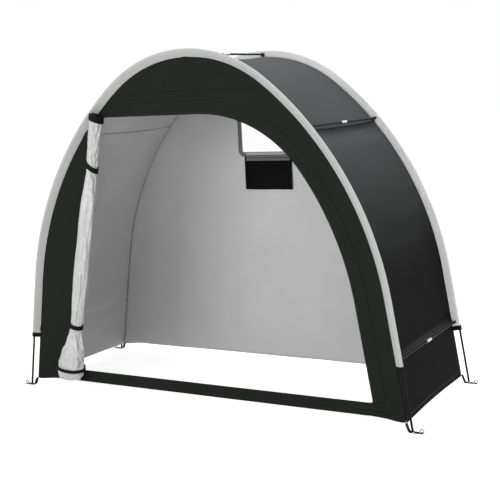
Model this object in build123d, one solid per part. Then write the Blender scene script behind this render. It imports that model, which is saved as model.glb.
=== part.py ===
"""Bike shelter: two pole arches in cloth sleeves, five spreader poles, and a cloth tent hung between them.

Millimetres, +Z up, +X to the right seen from the door side, +Y to the back.
The origin is on the ground, in the middle of the part's box.
"""
import os
from math import atan2, cos, degrees, radians, sin, sqrt

from build123d import *

# Frame line: the pole axis of one arch, seen from the front
foot_span = 1982.0
arch_height = 1562.0
leg_length = 532.0
leg_lean = 9.1
crown_angle = 51.1
arch_spacing = 740.0

# Poles
pole_diameter = 9.5
pole_end_height = 4.0
pin_diameter = 6.0
spreader_diameter = 9.0
spreader_inset = 13.0
lower_spreader_along = 292.0
upper_spreader_share = 0.743
ridge_angle = 90.0
ferrule_wall = 1.6
ferrule_length = 50.0

# Pole sleeves: round the pole outside, flat where they meet the corner seam of the cloth
sleeve_round_radius = 9.0
sleeve_reach = 26.0
sleeve_setback = 12.0
sleeve_tail = 3.0
sleeve_bore_play = 0.4
sleeve_end_along = 272.0
sleeve_strap_width = 20.0

# Cloth, with the height of its hems above the ground
cloth = 2.0
corner_height = 32.0
front_hem_height = 45.0
front_hem_corner = 83.0
side_hem_height = 40.0

# Doorway, closed at the foot by a sill strip
door_header = 269.0
door_inset = 156.0
door_corner_radius = 580.0
left_jamb_top_width = 31.0
left_jamb_foot_width = 233.0
sill_top = 101.0
sill_overlap = 46.0
storm_flap_width = 57.0
storm_flap_thickness = 1.5

# Door cloth, rolled up along the doorway's left edge and tied
roll_drop = 46.0
roll_half_width = 40.0
roll_half_depth = 30.0
roll_station_shares = (0.0, 0.02, 0.177, 0.35, 0.60, 0.785, 0.91, 0.955, 1.0)
roll_width_shares = (0.86, 0.82, 0.72, 0.95, 1.0, 0.75, 1.8, 1.95, 1.85)
roll_depth_shares = (0.95, 0.9, 0.8, 1.0, 1.0, 0.85, 1.15, 1.2, 1.15)
tie_station_shares = (0.02, 0.177, 0.785, 0.955)
tie_width = 15.0
tie_thickness = 2.0
tie_bite = 1.5

# Rear window and its flap, which hangs inside
window_width = 306.0
window_height = 230.0
window_header = 265.0
window_corner_radius = 18.0
pane_lap = 16.0
pane_thickness = 1.0
border_width = 24.0
border_thickness = 1.5
flap_width = 262.0
flap_drop = 158.0
flap_lap = 4.0
flap_thickness = 2.0

# Snap clips that hold the spreader poles off the canopy
clip_wall = 2.5
clip_length = 16.0
clip_play = 0.3
clip_mouth = 6.0
clip_neck = 4.0
clip_pad_width = 26.0
clip_pad_thickness = 2.0

# Corner straps with their pegs
strap_width = 22.0
strap_thickness = 2.0
strap_bend_inset = 17.0
strap_bend_radius = 9.0
strap_reach = 40.0
pin_hole_play = 0.3
peg_diameter = 5.0
peg_hole_play = 0.4
peg_offset = 27.0
peg_rise = 9.0
peg_hook_radius = 8.0
peg_tip_drop = 5.0

# Gap left where curved faces meet, and the overrun of every cut
seat_gap = 0.3
overrun = 40.0

# Right leg of the frame line, then a shoulder arc and a crown arc that run on from it without a kink:
# their radii are those that bring the crown to its height over the middle
lean = radians(leg_lean)
crown_turn = radians(crown_angle)
leg_up = Vector(-sin(lean), 0, cos(lean))
leg_in = Vector(-cos(lean), 0, -sin(lean))
foot = Vector(foot_span / 2, 0, 0)
knee_to_crown = Vector(0, 0, arch_height) - foot - leg_up * leg_length
shoulder_run = cos(lean) - cos(crown_turn)
shoulder_rise = sin(crown_turn) - sin(lean)
crown_run = cos(crown_turn)
crown_rise = 1 - sin(crown_turn)
arcs_cross = shoulder_run * crown_rise - crown_run * shoulder_rise
shoulder_radius = -(knee_to_crown.X * crown_rise + crown_run * knee_to_crown.Z) / arcs_cross
crown_radius = (shoulder_run * knee_to_crown.Z + knee_to_crown.X * shoulder_rise) / arcs_cross
shoulder_centre = foot + leg_up * leg_length + leg_in * shoulder_radius
crown_centre = Vector(0, 0, arch_height - crown_radius)
upper_spreader_angle = leg_lean + (crown_angle - leg_lean) * upper_spreader_share

# Places along Y: the box runs from the front of the door roll to the back of the rear sleeve.
# The sleeves' tails point in and towards the middle, so the walls stand inside the arches.
tie_stand = seat_gap + tie_thickness - tie_bite
roll_reach = cloth / 2 + seat_gap + 2 * tie_stand + 2 * roll_half_depth * max(roll_depth_shares)
strap_half = strap_width / 2
strap_setback = sleeve_setback / 2
rear_reach = max(sleeve_round_radius, strap_half - strap_setback)
front_plane = (roll_reach - sleeve_setback - rear_reach - arch_spacing) / 2
rear_plane = front_plane + arch_spacing
middle_plane = (front_plane + rear_plane) / 2
front_wall_plane = front_plane + sleeve_setback
rear_wall_plane = rear_plane - sleeve_setback
wall_spacing = rear_wall_plane - front_wall_plane

toward_back = (0, 1, 0)


def at(x, z):
    """Point of the frame's own plane."""
    return Vector(x, 0, z)


def flipped(point):
    """The same point on the left side."""
    return Vector(-point.X, point.Y, point.Z)


def leg_at(inset, along):
    """Point a given way up the right leg, moved inwards from the pole axis."""
    return foot + leg_up * along + leg_in * inset


def along_at(inset, height):
    """Way up the leg at which the inset leg line reaches a height."""
    return (height + inset * sin(lean)) / cos(lean)


def shoulder_at(inset, angle):
    """Point of the right shoulder arc at an angle above level."""
    turn = radians(angle)
    return shoulder_centre + Vector(cos(turn), 0, sin(turn)) * (shoulder_radius - inset)


def half_width_at(inset, height):
    """Half width of the inset arch at a height on its shoulders."""
    rise = height - shoulder_centre.Z
    return shoulder_centre.X + sqrt((shoulder_radius - inset) ** 2 - rise**2)


def arc(centre, start, end):
    """The shorter arc about a centre."""
    out = (start - centre) + (end - centre)
    return ThreePointArc(start, centre + out.normalized() * (start - centre).length, end)


def arch_run(inset, along):
    """Whole arch from the right leg over the crown to the left leg."""
    low = leg_at(inset, along)
    knee = leg_at(inset, leg_length)
    shoulder = shoulder_at(inset, crown_angle)
    return [
        Line(low, knee),
        arc(shoulder_centre, knee, shoulder),
        arc(crown_centre, shoulder, flipped(shoulder)),
        arc(flipped(shoulder_centre), flipped(shoulder), flipped(knee)),
        Line(flipped(knee), flipped(low)),
    ]


def strip(run, first, second):
    """Face between two copies of a run."""
    one = run(first)
    two = run(second)
    ends = [Line(one[0] @ 0, two[0] @ 0), Line(one[-1] @ 1, two[-1] @ 1)]
    return make_face(one + two + ends)


def layer(face, y_front, thickness):
    """Flat cloth: a face of the frame's plane given thickness towards the back."""
    return extrude(Pos(0, y_front, 0) * face, amount=thickness, dir=toward_back)


def patch(*corners):
    """Face with straight edges."""
    return make_face(Polyline(*corners, close=True))


def at_both_sides(solids):
    """The given solids and their mirror images, as one list."""
    return solids + [mirror(solid, about=Plane.YZ) for solid in solids]


def tube(plane, radius, length):
    """Round bar that starts on a plane."""
    return extrude(plane * Circle(radius), amount=length)


# Arch poles, from foot to foot
def arch_pole(y):
    path = Wire(arch_run(0, along_at(0, pole_end_height)))
    start = Plane(origin=path @ 0, x_dir=toward_back, z_dir=path % 0)
    return Pos(0, y, 0) * sweep(start * Circle(pole_diameter / 2), path=path)


def pole_pin(y):
    end = leg_at(0, along_at(0, pole_end_height))
    plane = Plane(origin=end, x_dir=toward_back, z_dir=-leg_up)
    ground = Pos(0, 0, -overrun / 2) * Box(2 * foot_span, overrun, overrun)
    return Pos(0, y, 0) * (tube(plane, pin_diameter / 2, overrun) - ground)


# Sleeves: a round pocket for the pole with a flat tail, which ends at the cloth's corner seam
def setback_at(y):
    """Sign of the way along Y from an arch to the middle of the shelter."""
    return 1 if y < middle_plane else -1


def sleeve_section(plane, y):
    tail_radius = sleeve_tail / 2
    tail_place = (sleeve_reach - seat_gap - tail_radius, sleeve_setback * setback_at(y) * plane.y_dir.Y)
    tail = Pos(*tail_place) * Circle(tail_radius)
    outline = make_hull(Circle(sleeve_round_radius).edges() + tail.edges())
    return plane * (outline - Circle(pole_diameter / 2 + sleeve_bore_play))


def sleeve_end_plane(direction):
    return Plane(origin=leg_at(0, sleeve_end_along), x_dir=leg_in, z_dir=direction)


def arch_sleeve(y):
    path = Wire(arch_run(0, sleeve_end_along))
    return Pos(0, y, 0) * sweep(sleeve_section(sleeve_end_plane(leg_up), y), path=path)


def sleeve_end_strap(y):
    return Pos(0, y, 0) * extrude(sleeve_section(sleeve_end_plane(-leg_up), y), amount=sleeve_strap_width)


# Front and rear walls hang inside the sleeves and share one outline
def wall_outline():
    sides = arch_run(sleeve_reach, along_at(sleeve_reach, corner_height))
    corner = sides[0] @ 0
    hem_end = at(corner.X - front_hem_corner, front_hem_height)
    hem = Polyline(corner, hem_end, flipped(hem_end), flipped(corner))
    return make_face(sides + [hem])


# The doorway's left edge is straight; its right edge follows the arch, and a large arc leads to its level top
door_top = arch_height - door_header
door_left_top = at(left_jamb_top_width - half_width_at(sleeve_reach, door_top), door_top)
sill_half_width = leg_at(sleeve_reach, along_at(sleeve_reach, sill_top)).X
door_left_foot = at(left_jamb_foot_width - sill_half_width, sill_top)
corner_gap = shoulder_radius - door_inset - door_corner_radius
corner_rise = door_top - door_corner_radius - shoulder_centre.Z
corner_run = sqrt(corner_gap**2 - corner_rise**2)
corner_centre = shoulder_centre + at(corner_run, corner_rise)
corner_angle = degrees(atan2(corner_rise, corner_run))


def door_edge(margin):
    """Right and top edge of the doorway, moved outwards by a margin."""
    inset = door_inset - margin
    low = leg_at(inset, along_at(inset, sill_top))
    knee = leg_at(inset, leg_length)
    turn = shoulder_at(inset, corner_angle)
    top = corner_centre + at(0, door_corner_radius + margin)
    return [
        Line(low, knee),
        arc(shoulder_centre, knee, turn),
        arc(corner_centre, turn, top),
        Line(top, door_left_top + at(0, margin)),
    ]


def front_wall_faces():
    """Cloth round the doorway: header, left jamb, right jamb and sill."""
    edge = door_edge(0)
    right_foot = edge[0] @ 0
    sill_left = door_left_foot.X - sill_overlap
    sill_right = right_foot.X + sill_overlap
    doorway = make_face(edge + [Polyline(door_left_top, door_left_foot, right_foot)])
    cloth_face = wall_outline() - doorway
    seam = shoulder_at(door_inset, corner_angle)
    seam_end = shoulder_at(-overrun, corner_angle)
    header = patch(
        at(-foot_span, door_top),
        door_left_top,
        seam,
        seam_end,
        at(foot_span, arch_height + overrun),
        at(-foot_span, arch_height + overrun),
    )
    left = patch(
        at(-foot_span, door_top),
        door_left_top,
        door_left_foot,
        at(sill_left, sill_top),
        at(sill_left, 0),
        at(-foot_span, 0),
    )
    sill = patch(
        at(sill_left, sill_top),
        at(sill_right, sill_top),
        at(sill_right, 0),
        at(sill_left, 0),
    )
    return {
        "front_header": cloth_face & header,
        "front_left_jamb": cloth_face & left,
        "front_right_jamb": cloth_face - header - left - sill,
        "front_sill": cloth_face & sill,
    }


def storm_flap():
    inside = make_face(arch_run(sleeve_reach + sleeve_tail, 0) + [
        Line(leg_at(sleeve_reach + sleeve_tail, 0), flipped(leg_at(sleeve_reach + sleeve_tail, 0)))
    ])
    face = strip(door_edge, 0, storm_flap_width) & inside
    return layer(face, front_wall_plane - cloth / 2 - storm_flap_thickness, storm_flap_thickness)


# Rear wall with a clear window
window_sill_height = arch_height - window_header - window_height


def window_face(margin):
    """Window outline, grown by a margin all round."""
    width = window_width + 2 * margin
    height = window_height + 2 * margin
    outline = RectangleRounded(width, height, window_corner_radius + margin)
    return Plane.XZ * Pos(0, window_sill_height + window_height / 2) * outline


def rear_window():
    """Wall, pane, border and flap, laid on each other towards the inside."""
    wall_front = rear_wall_plane - cloth / 2
    pane_front = wall_front - pane_thickness
    border_front = pane_front - border_thickness
    flap_height = flap_drop + flap_lap
    flap_centre = window_sill_height - pane_lap + flap_lap - flap_height / 2
    flap = Plane.XZ * Pos(0, flap_centre) * Rectangle(flap_width, flap_height)
    border = window_face(pane_lap) - window_face(pane_lap - border_width)
    return {
        "rear_wall": layer(wall_outline() - window_face(0), wall_front, cloth),
        "window_pane": layer(window_face(pane_lap), pane_front, pane_thickness),
        "window_border": layer(border, border_front, border_thickness),
        "window_flap": layer(flap, border_front - flap_thickness, flap_thickness),
    }


# Canopy: skirts, sides and roof between the walls, with seams at the spreader poles
def skirt_run(inset):
    return [Line(leg_at(inset, along_at(inset, corner_height)), leg_at(inset, lower_spreader_along))]


def side_run(inset):
    knee = leg_at(inset, leg_length)
    seam = shoulder_at(inset, upper_spreader_angle)
    return [Line(leg_at(inset, lower_spreader_along), knee), arc(shoulder_centre, knee, seam)]


def roof_run(inset):
    seam = shoulder_at(inset, upper_spreader_angle)
    shoulder = shoulder_at(inset, crown_angle)
    return [
        arc(shoulder_centre, seam, shoulder),
        arc(crown_centre, shoulder, flipped(shoulder)),
        arc(flipped(shoulder_centre), flipped(shoulder), flipped(seam)),
    ]


def canopy(run):
    face = strip(run, sleeve_reach, sleeve_reach + cloth)
    return layer(face, front_wall_plane + cloth / 2, wall_spacing - cloth)


def skirt():
    """Side skirt with its hem cut to an arc between the corners."""
    half_chord = wall_spacing / 2
    sag = side_hem_height - corner_height
    radius = (half_chord**2 + sag**2) / (2 * sag)
    axis = Plane(origin=(0, middle_plane, side_hem_height - radius), z_dir=(1, 0, 0))
    return canopy(skirt_run) - tube(axis, radius, foot_span)


# Spreader poles: place and outward angle of each, on the right side and on the ridge
spreaders = {
    "top": (at(0, arch_height - spreader_inset), ridge_angle),
    "upper": (shoulder_at(spreader_inset, upper_spreader_angle), upper_spreader_angle),
    "lower": (leg_at(spreader_inset, lower_spreader_along), leg_lean),
}
spreader_front = front_wall_plane + sleeve_tail / 2 + seat_gap
spreader_length = 2 * (middle_plane - spreader_front)


def spreader_pole(place):
    plane = Plane(origin=place + Vector(0, spreader_front, 0), z_dir=toward_back)
    return tube(plane, spreader_diameter / 2, spreader_length)


def spreader_ferrule(place):
    bore = spreader_diameter / 2 + seat_gap
    plane = Plane(origin=place + Vector(0, middle_plane - ferrule_length / 2, 0), z_dir=toward_back)
    return tube(plane, bore + ferrule_wall, ferrule_length) - tube(plane, bore, ferrule_length)


def spreader_clip(place, angle, y_front):
    """Open ring that a pole snaps into, on a neck and a pad that lies on the canopy."""
    bore = spreader_diameter / 2 + clip_play
    outside = bore + clip_wall
    drop = sleeve_reach - spreader_inset - seat_gap
    neck = Pos(-drop / 2, 0) * Rectangle(drop, clip_neck)
    pad = Pos(clip_pad_thickness / 2 - drop, 0) * Rectangle(clip_pad_thickness, clip_pad_width)
    mouth = Pos(0, outside / 2) * Rectangle(clip_mouth, outside)
    face = Circle(outside) + neck + pad - Circle(bore) - mouth
    plane = Plane(origin=place, x_dir=(cos(radians(angle)), 0, sin(radians(angle))), z_dir=(0, -1, 0))
    return layer(plane * face, y_front, clip_length)


def spreader_set(make):
    """One solid for the ridge pole and a pair for each side pole."""
    pairs = [make(*spreaders["upper"]), make(*spreaders["lower"])]
    return [make(*spreaders["top"])] + at_both_sides(pairs)


# Door roll: sections along its slanted axis, with grooves for the ties
roll_top = door_left_top
roll_down = (door_left_foot - door_left_top).normalized()
roll_foot = door_left_foot - roll_down * (roll_drop / roll_down.Z)
roll_back = front_wall_plane - cloth / 2 - seat_gap - tie_stand


def roll_plane(share, half_depth):
    """Plane across the roll, whose back lies just off the front wall."""
    point = roll_top + (roll_foot - roll_top) * share
    centre = point + Vector(0, roll_back - half_depth, 0)
    return Plane(origin=centre, x_dir=Vector(-roll_down.Z, 0, roll_down.X), z_dir=roll_down)


def roll_size(share):
    """Half width and half depth of a listed section."""
    index = roll_station_shares.index(share)
    return roll_half_width * roll_width_shares[index], roll_half_depth * roll_depth_shares[index]


def tie_ring(share, inner, outer, width):
    half_width, half_depth = roll_size(share)
    ring = Ellipse(half_width + outer, half_depth + outer) - Ellipse(half_width + inner, half_depth + inner)
    return extrude(roll_plane(share, half_depth) * ring, amount=width / 2, both=True)


def door_roll():
    sections = []
    for share in roll_station_shares:
        half_width, half_depth = roll_size(share)
        sections.append(roll_plane(share, half_depth) * Ellipse(half_width, half_depth))
    roll = loft(sections, ruled=True)
    for share in tie_station_shares:
        roll -= tie_ring(share, -tie_bite, overrun, tie_width + 2 * seat_gap)
    return roll


def door_tie(share):
    return tie_ring(share, tie_stand - tie_thickness, tie_stand, tie_width)


# Corner straps lie from the cloth's corner to the pole's pin and out to the peg
def corner_strap(y):
    corner = leg_at(sleeve_reach, along_at(sleeve_reach, corner_height))
    start = corner - at(0, strap_thickness)
    bend = at(foot.X - strap_bend_inset, strap_thickness / 2)
    end = at(foot.X + strap_reach, strap_thickness / 2)
    path = FilletPolyline(start, bend, end, radius=strap_bend_radius)
    plane = Plane(origin=path @ 0, x_dir=toward_back, z_dir=path % 0)
    strap = sweep(plane * Rectangle(strap_width, strap_thickness), path=path)
    arch_place = Vector(0, -strap_setback * setback_at(y), 0)
    below = Plane(origin=leg_at(0, -overrun) + arch_place, x_dir=toward_back, z_dir=leg_up)
    strap -= tube(below, pin_diameter / 2 + pin_hole_play, 2 * overrun)
    peg_below = Plane(origin=at(foot.X + peg_offset, -overrun))
    strap -= tube(peg_below, peg_diameter / 2 + peg_hole_play, 2 * overrun)
    return Pos(0, y, 0) * Pos(*-arch_place) * strap


def peg_hook(y):
    """Head of a bent wire peg, from the ground up."""
    low = at(foot.X + peg_offset, 0)
    high = low + at(0, peg_rise)
    over = high + at(peg_hook_radius, peg_hook_radius)
    far = high + at(2 * peg_hook_radius, 0)
    tip = far - at(0, peg_tip_drop)
    path = Wire([Line(low, high), ThreePointArc(high, over, far), Line(far, tip)])
    return Pos(0, y + strap_setback * setback_at(y), 0) * sweep(Plane(origin=low) * Circle(peg_diameter / 2), path=path)


def four_corners(make):
    return at_both_sides([make(front_plane), make(rear_plane)])


def build():
    """Every node and its solids."""
    front_clips = spreader_front
    rear_clips = spreader_front + spreader_length - clip_length
    nodes = {
        "front_arch_pole": [arch_pole(front_plane)],
        "rear_arch_pole": [arch_pole(rear_plane)],
        "pole_pins": four_corners(pole_pin),
        "front_arch_sleeve": [arch_sleeve(front_plane)],
        "rear_arch_sleeve": [arch_sleeve(rear_plane)],
        "sleeve_end_straps": four_corners(sleeve_end_strap),
        "storm_flap": [storm_flap()],
        "right_skirt": [skirt()],
        "right_side": [canopy(side_run)],
        "roof": [canopy(roof_run)],
        "door_roll": [door_roll()],
        "door_ties": [door_tie(share) for share in tie_station_shares],
        "corner_straps": four_corners(corner_strap),
        "peg_hooks": four_corners(peg_hook),
        "top_spreader_pole": [spreader_pole(spreaders["top"][0])],
        "spreader_ferrules": spreader_set(lambda place, angle: spreader_ferrule(place)),
        "front_spreader_clips": spreader_set(lambda place, angle: spreader_clip(place, angle, front_clips)),
        "rear_spreader_clips": spreader_set(lambda place, angle: spreader_clip(place, angle, rear_clips)),
    }
    for level in ("upper", "lower"):
        nodes[f"{level}_right_spreader_pole"] = [spreader_pole(spreaders[level][0])]
        nodes[f"{level}_left_spreader_pole"] = [mirror(spreader_pole(spreaders[level][0]), about=Plane.YZ)]
    for part in ("skirt", "side"):
        nodes[f"left_{part}"] = [mirror(solid, about=Plane.YZ) for solid in nodes[f"right_{part}"]]
    for name, face in front_wall_faces().items():
        nodes[name] = [layer(face, front_wall_plane - cloth / 2, cloth)]
    for name, solid in rear_window().items():
        nodes[name] = [solid]
    return nodes


os.makedirs("parts", exist_ok=True)
for name, solids in build().items():
    shape = solids[0] if len(solids) == 1 else Compound(children=solids)
    export_step(shape, f"parts/{name}.step")
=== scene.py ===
"""Bike shelter: cloth, webbing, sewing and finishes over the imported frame.

Metres, in the frame's own axes: +X to the right seen from the door side, +Y to the back, +Z up.
"""
from math import atan2, copysign, cos, exp, pi, radians, sin, sqrt, tan

import bmesh
import bpy
from mathutils import Matrix, Vector, noise


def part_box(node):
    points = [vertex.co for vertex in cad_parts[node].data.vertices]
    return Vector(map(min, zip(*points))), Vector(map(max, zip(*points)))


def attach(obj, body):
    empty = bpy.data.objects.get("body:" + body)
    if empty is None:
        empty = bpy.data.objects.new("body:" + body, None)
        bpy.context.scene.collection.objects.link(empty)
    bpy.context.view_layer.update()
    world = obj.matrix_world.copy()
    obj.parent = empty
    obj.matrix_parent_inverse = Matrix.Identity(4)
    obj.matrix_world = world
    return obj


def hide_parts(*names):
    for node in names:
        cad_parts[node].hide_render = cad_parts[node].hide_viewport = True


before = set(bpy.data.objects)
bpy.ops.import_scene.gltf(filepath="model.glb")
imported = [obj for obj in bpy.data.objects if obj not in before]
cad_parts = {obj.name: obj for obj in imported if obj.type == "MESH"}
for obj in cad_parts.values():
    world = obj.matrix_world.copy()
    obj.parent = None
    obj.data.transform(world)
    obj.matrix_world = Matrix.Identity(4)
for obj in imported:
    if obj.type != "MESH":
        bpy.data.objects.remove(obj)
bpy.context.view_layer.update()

bl_info = {
    "name": "Bike shelter",
    "version": (1, 0, 0),
    "blender": (4, 5, 0),
    "location": "3D View > Sidebar > Shelter",
    "description": "Makes the cloth, webbing, sewing and finishes of a bike shelter over its frame",
    "category": "Object",
}


# Properties
def middle_y(node):
    """Y of the middle of a frame node."""
    low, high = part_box(node)
    return (low.y + high.y) / 2


def number(name, description, default, **kind):
    """A number that a user may change."""
    return bpy.props.FloatProperty(name=name, description=description, default=default, **kind)


def length(name, description, default):
    """A size in metres that a user may change."""
    return number(name, description, default, unit="LENGTH", subtype="DISTANCE", precision=4)


def angle(name, description, degrees):
    """An angle that a user may change."""
    return number(name, description, radians(degrees), unit="ROTATION", subtype="ANGLE")


def colour(name, description, default):
    """A colour that a user may change."""
    return bpy.props.FloatVectorProperty(
        name=name, description=description, default=default, size=3, subtype="COLOR", min=0.0, max=1.0
    )


class ShelterSizes(bpy.types.PropertyGroup):
    """Sizes of the frame line and of the cloth on it."""

    front_plane: length("Front plane", "Y of the front arch", middle_y("front_arch_pole"))
    rear_plane: length("Rear plane", "Y of the rear arch", middle_y("rear_arch_pole"))
    foot_span: length("Foot span", "Between the pole ends of one arch", 1.982)
    arch_height: length("Arch height", "Top of the pole axis", 1.562)
    leg_length: length("Leg length", "Straight part of the pole", 0.532)
    leg_lean: angle("Leg lean", "Lean of the straight part", 9.1)
    crown_angle: angle("Crown angle", "Where the shoulder arc turns into the crown arc", 51.1)
    sleeve_round: length("Sleeve round", "Radius of the sleeve about the pole", 0.009)
    sleeve_reach: length("Sleeve reach", "From the pole axis in to the corner seam", 0.026)
    sleeve_setback: length("Sleeve setback", "From the arch plane to the corner seam, towards the middle", 0.012)
    sleeve_tail: length("Sleeve tail", "Half thickness of the sleeve at the corner seam", 0.0015)
    sleeve_end: length("Sleeve end", "Way up the leg at which a sleeve ends", 0.272)
    band_width: length("Band width", "Webbing band at a sleeve's end", 0.02)
    corner_height: length("Corner height", "Height of the cloth's corners", 0.032)
    front_hem: length("Front hem", "Height of the front and rear hems", 0.045)
    hem_corner: length("Hem corner", "Length of hem that turns down to a corner", 0.083)
    side_hem: length("Side hem", "Height of the side hems in the middle", 0.04)
    lower_seam: length("Lower seam", "Way up the leg of the lower side seam", 0.292)
    upper_seam: angle("Upper seam", "Angle of the upper side seam on the shoulder", 40.306)
    door_header: length("Door header", "From the crown down to the doorway", 0.269)
    door_inset: length("Door inset", "From the pole axis to the doorway's right edge", 0.156)
    door_round: length("Door round", "Radius of the doorway's top corner", 0.58)
    jamb_top: length("Jamb top", "Width of the left jamb at the top", 0.031)
    jamb_foot: length("Jamb foot", "Width of the left jamb at the foot", 0.233)
    sill_top: length("Sill top", "Height of the doorway's sill", 0.101)
    flap_width: length("Storm flap", "Width of the storm flap round the doorway", 0.057)
    roll_drop: length("Roll drop", "How far the door roll hangs below the sill's top", 0.046)
    roll_width: length("Roll width", "Half width of the door roll", 0.04)
    roll_depth: length("Roll depth", "Half depth of the door roll", 0.03)
    window_width: length("Window width", "Clear width of the window", 0.306)
    window_height: length("Window height", "Clear height of the window", 0.23)
    window_header: length("Window header", "From the crown down to the window", 0.265)
    window_round: length("Window round", "Corner radius of the window", 0.018)
    window_lap: length("Window lap", "Lap of the clear sheet over the wall", 0.016)
    window_tape: length("Window tape", "Width of the tape round the window", 0.024)
    cover_width: length("Cover width", "Width of the window's cover flap", 0.262)
    cover_drop: length("Cover drop", "Length of the window's cover flap", 0.162)
    strap_width: length("Strap width", "Width of a corner strap", 0.022)
    cloth: length("Cloth", "Thickness of the cloth as shown", 0.001)


class ShelterColours(bpy.types.PropertyGroup):
    """Colours of the shelter's materials."""

    # Painted shade: the canopy's black is darker than the walls' cloth of the same fabric, for the shade on its sides
    painted_shade_black: colour("Black cloth", "Outside of the canopy", (0.006, 0.0061, 0.0061))
    # Painted top light: a lighter paint for the canopy where it faces up, standing in for the light and sheen that
    # fall on its top
    painted_top_light: colour("Painted top light", "Canopy where it faces the sky", (0.064, 0.0655, 0.067))
    panel_cloth: colour("Panel cloth", "Outside of the walls", (0.0172, 0.0188, 0.017))
    silver_cloth: colour("Silver coating", "Inside of the tent", (0.62, 0.62, 0.625))
    # Painted light: the same silver coating as the inside, painted lighter because the roll stands in open light
    roll_cloth: colour("Roll cloth", "Inside of the door, rolled outwards", (0.64, 0.64, 0.64))
    sleeve_cloth: colour("Sleeve cloth", "Sleeve of the front pole", (0.55, 0.555, 0.55))
    # Painted light: the same sleeve cloth as the front, painted far lighter for the light that falls on the rear
    # sleeve from above and behind
    rear_sleeve_painted_light: colour("Rear sleeve cloth", "Sleeve of the rear pole", (0.95, 0.95, 0.95))
    cover_cloth: colour("Cover cloth", "Cover flap of the window", (0.004, 0.004, 0.0045))
    webbing: colour("Webbing", "Straps and ties", (0.005, 0.005, 0.0052))
    tape: colour("Tape", "Window tape", (0.18, 0.18, 0.185))
    pale_tape: colour("Pale tape", "Strips below the window", (0.5, 0.5, 0.51))
    thread: colour("Thread", "Stitches on black cloth", (0.03, 0.03, 0.03))
    pale_thread: colour("Pale thread", "Stitches on the sleeves", (0.4, 0.405, 0.4))
    pole: colour("Pole", "Fibreglass poles", (0.007, 0.007, 0.0075))
    steel: colour("Steel", "Ferrules and eyelets", (0.72, 0.72, 0.73))
    dull_steel: colour("Dull steel", "Pins and pegs", (0.3, 0.3, 0.3))
    plastic: colour("Plastic", "Spreader clips", (0.012, 0.012, 0.0125))
    clear: colour("Clear sheet", "Window", (0.95, 0.97, 0.97))
    floor: colour("Floor", "Studio floor", (0.8, 0.8, 0.8))


class ShelterStage(bpy.types.PropertyGroup):
    """Camera and light."""

    camera_place: bpy.props.FloatVectorProperty(
        name="Camera place", description="Where the camera stands", default=(2.3832, -4.0289, 1.3903), subtype="XYZ"
    )
    camera_yaw: angle("Camera yaw", "Turn to the left of straight ahead", 29.655)
    camera_pitch: angle("Camera pitch", "Downward tilt", 9.0205)
    camera_roll: angle("Camera roll", "Turn about the line of sight", -2.8937)
    camera_lens: number("Lens", "Focal length in millimetres", 73.233, unit="CAMERA")
    world_light: number("World light", "Strength of the light all round", 0.4)
    top_light: number("Top light", "Power of the overhead lamp", 165.0, unit="POWER")
    left_light: number("Left light", "Power of the lamp at the front left", 95.0, unit="POWER")
    right_light: number("Right light", "Power of the lamp at the front right", 70.0, unit="POWER")
    side_light: number("Side light", "Power of the lamp on the right", 105.0, unit="POWER")


def sizes():
    return bpy.context.scene.shelter_sizes


def paints():
    return bpy.context.scene.shelter_colours


def shape():
    """The sizes, and the frame line that they give."""
    return sizes(), FrameLine(sizes())


def arch_planes():
    """Y of the front and rear arches."""
    return sizes().front_plane, sizes().rear_plane


def wall_planes():
    """Y of the front and rear walls, which stand inside the arches."""
    given = sizes()
    return given.front_plane + given.sleeve_setback, given.rear_plane - given.sleeve_setback


# Small sums
def deep(y):
    return Vector((0, y, 0))


def high(z):
    return Vector((0, 0, z))


def flipped(point):
    """The same point on the left side."""
    return Vector((-point.x, point.y, point.z))


def ease(low, high, value):
    """Smooth step from 0 at low to 1 at high."""
    share = min(1.0, max(0.0, (value - low) / (high - low)))
    return share * share * (3 - 2 * share)


def ripple(x, y, z=0.0):
    """Smooth noise, the same each run."""
    return noise.noise(Vector((x, y, z)))


def straight(move):
    """Straight piece of a path: its length and how spin makes it."""
    return move.length, {"move": move}


def arc(centre, turn, radius):
    """Round piece of a path: its length and how spin makes it."""
    return turn * radius, {"centre": centre, "turn": turn}


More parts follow.
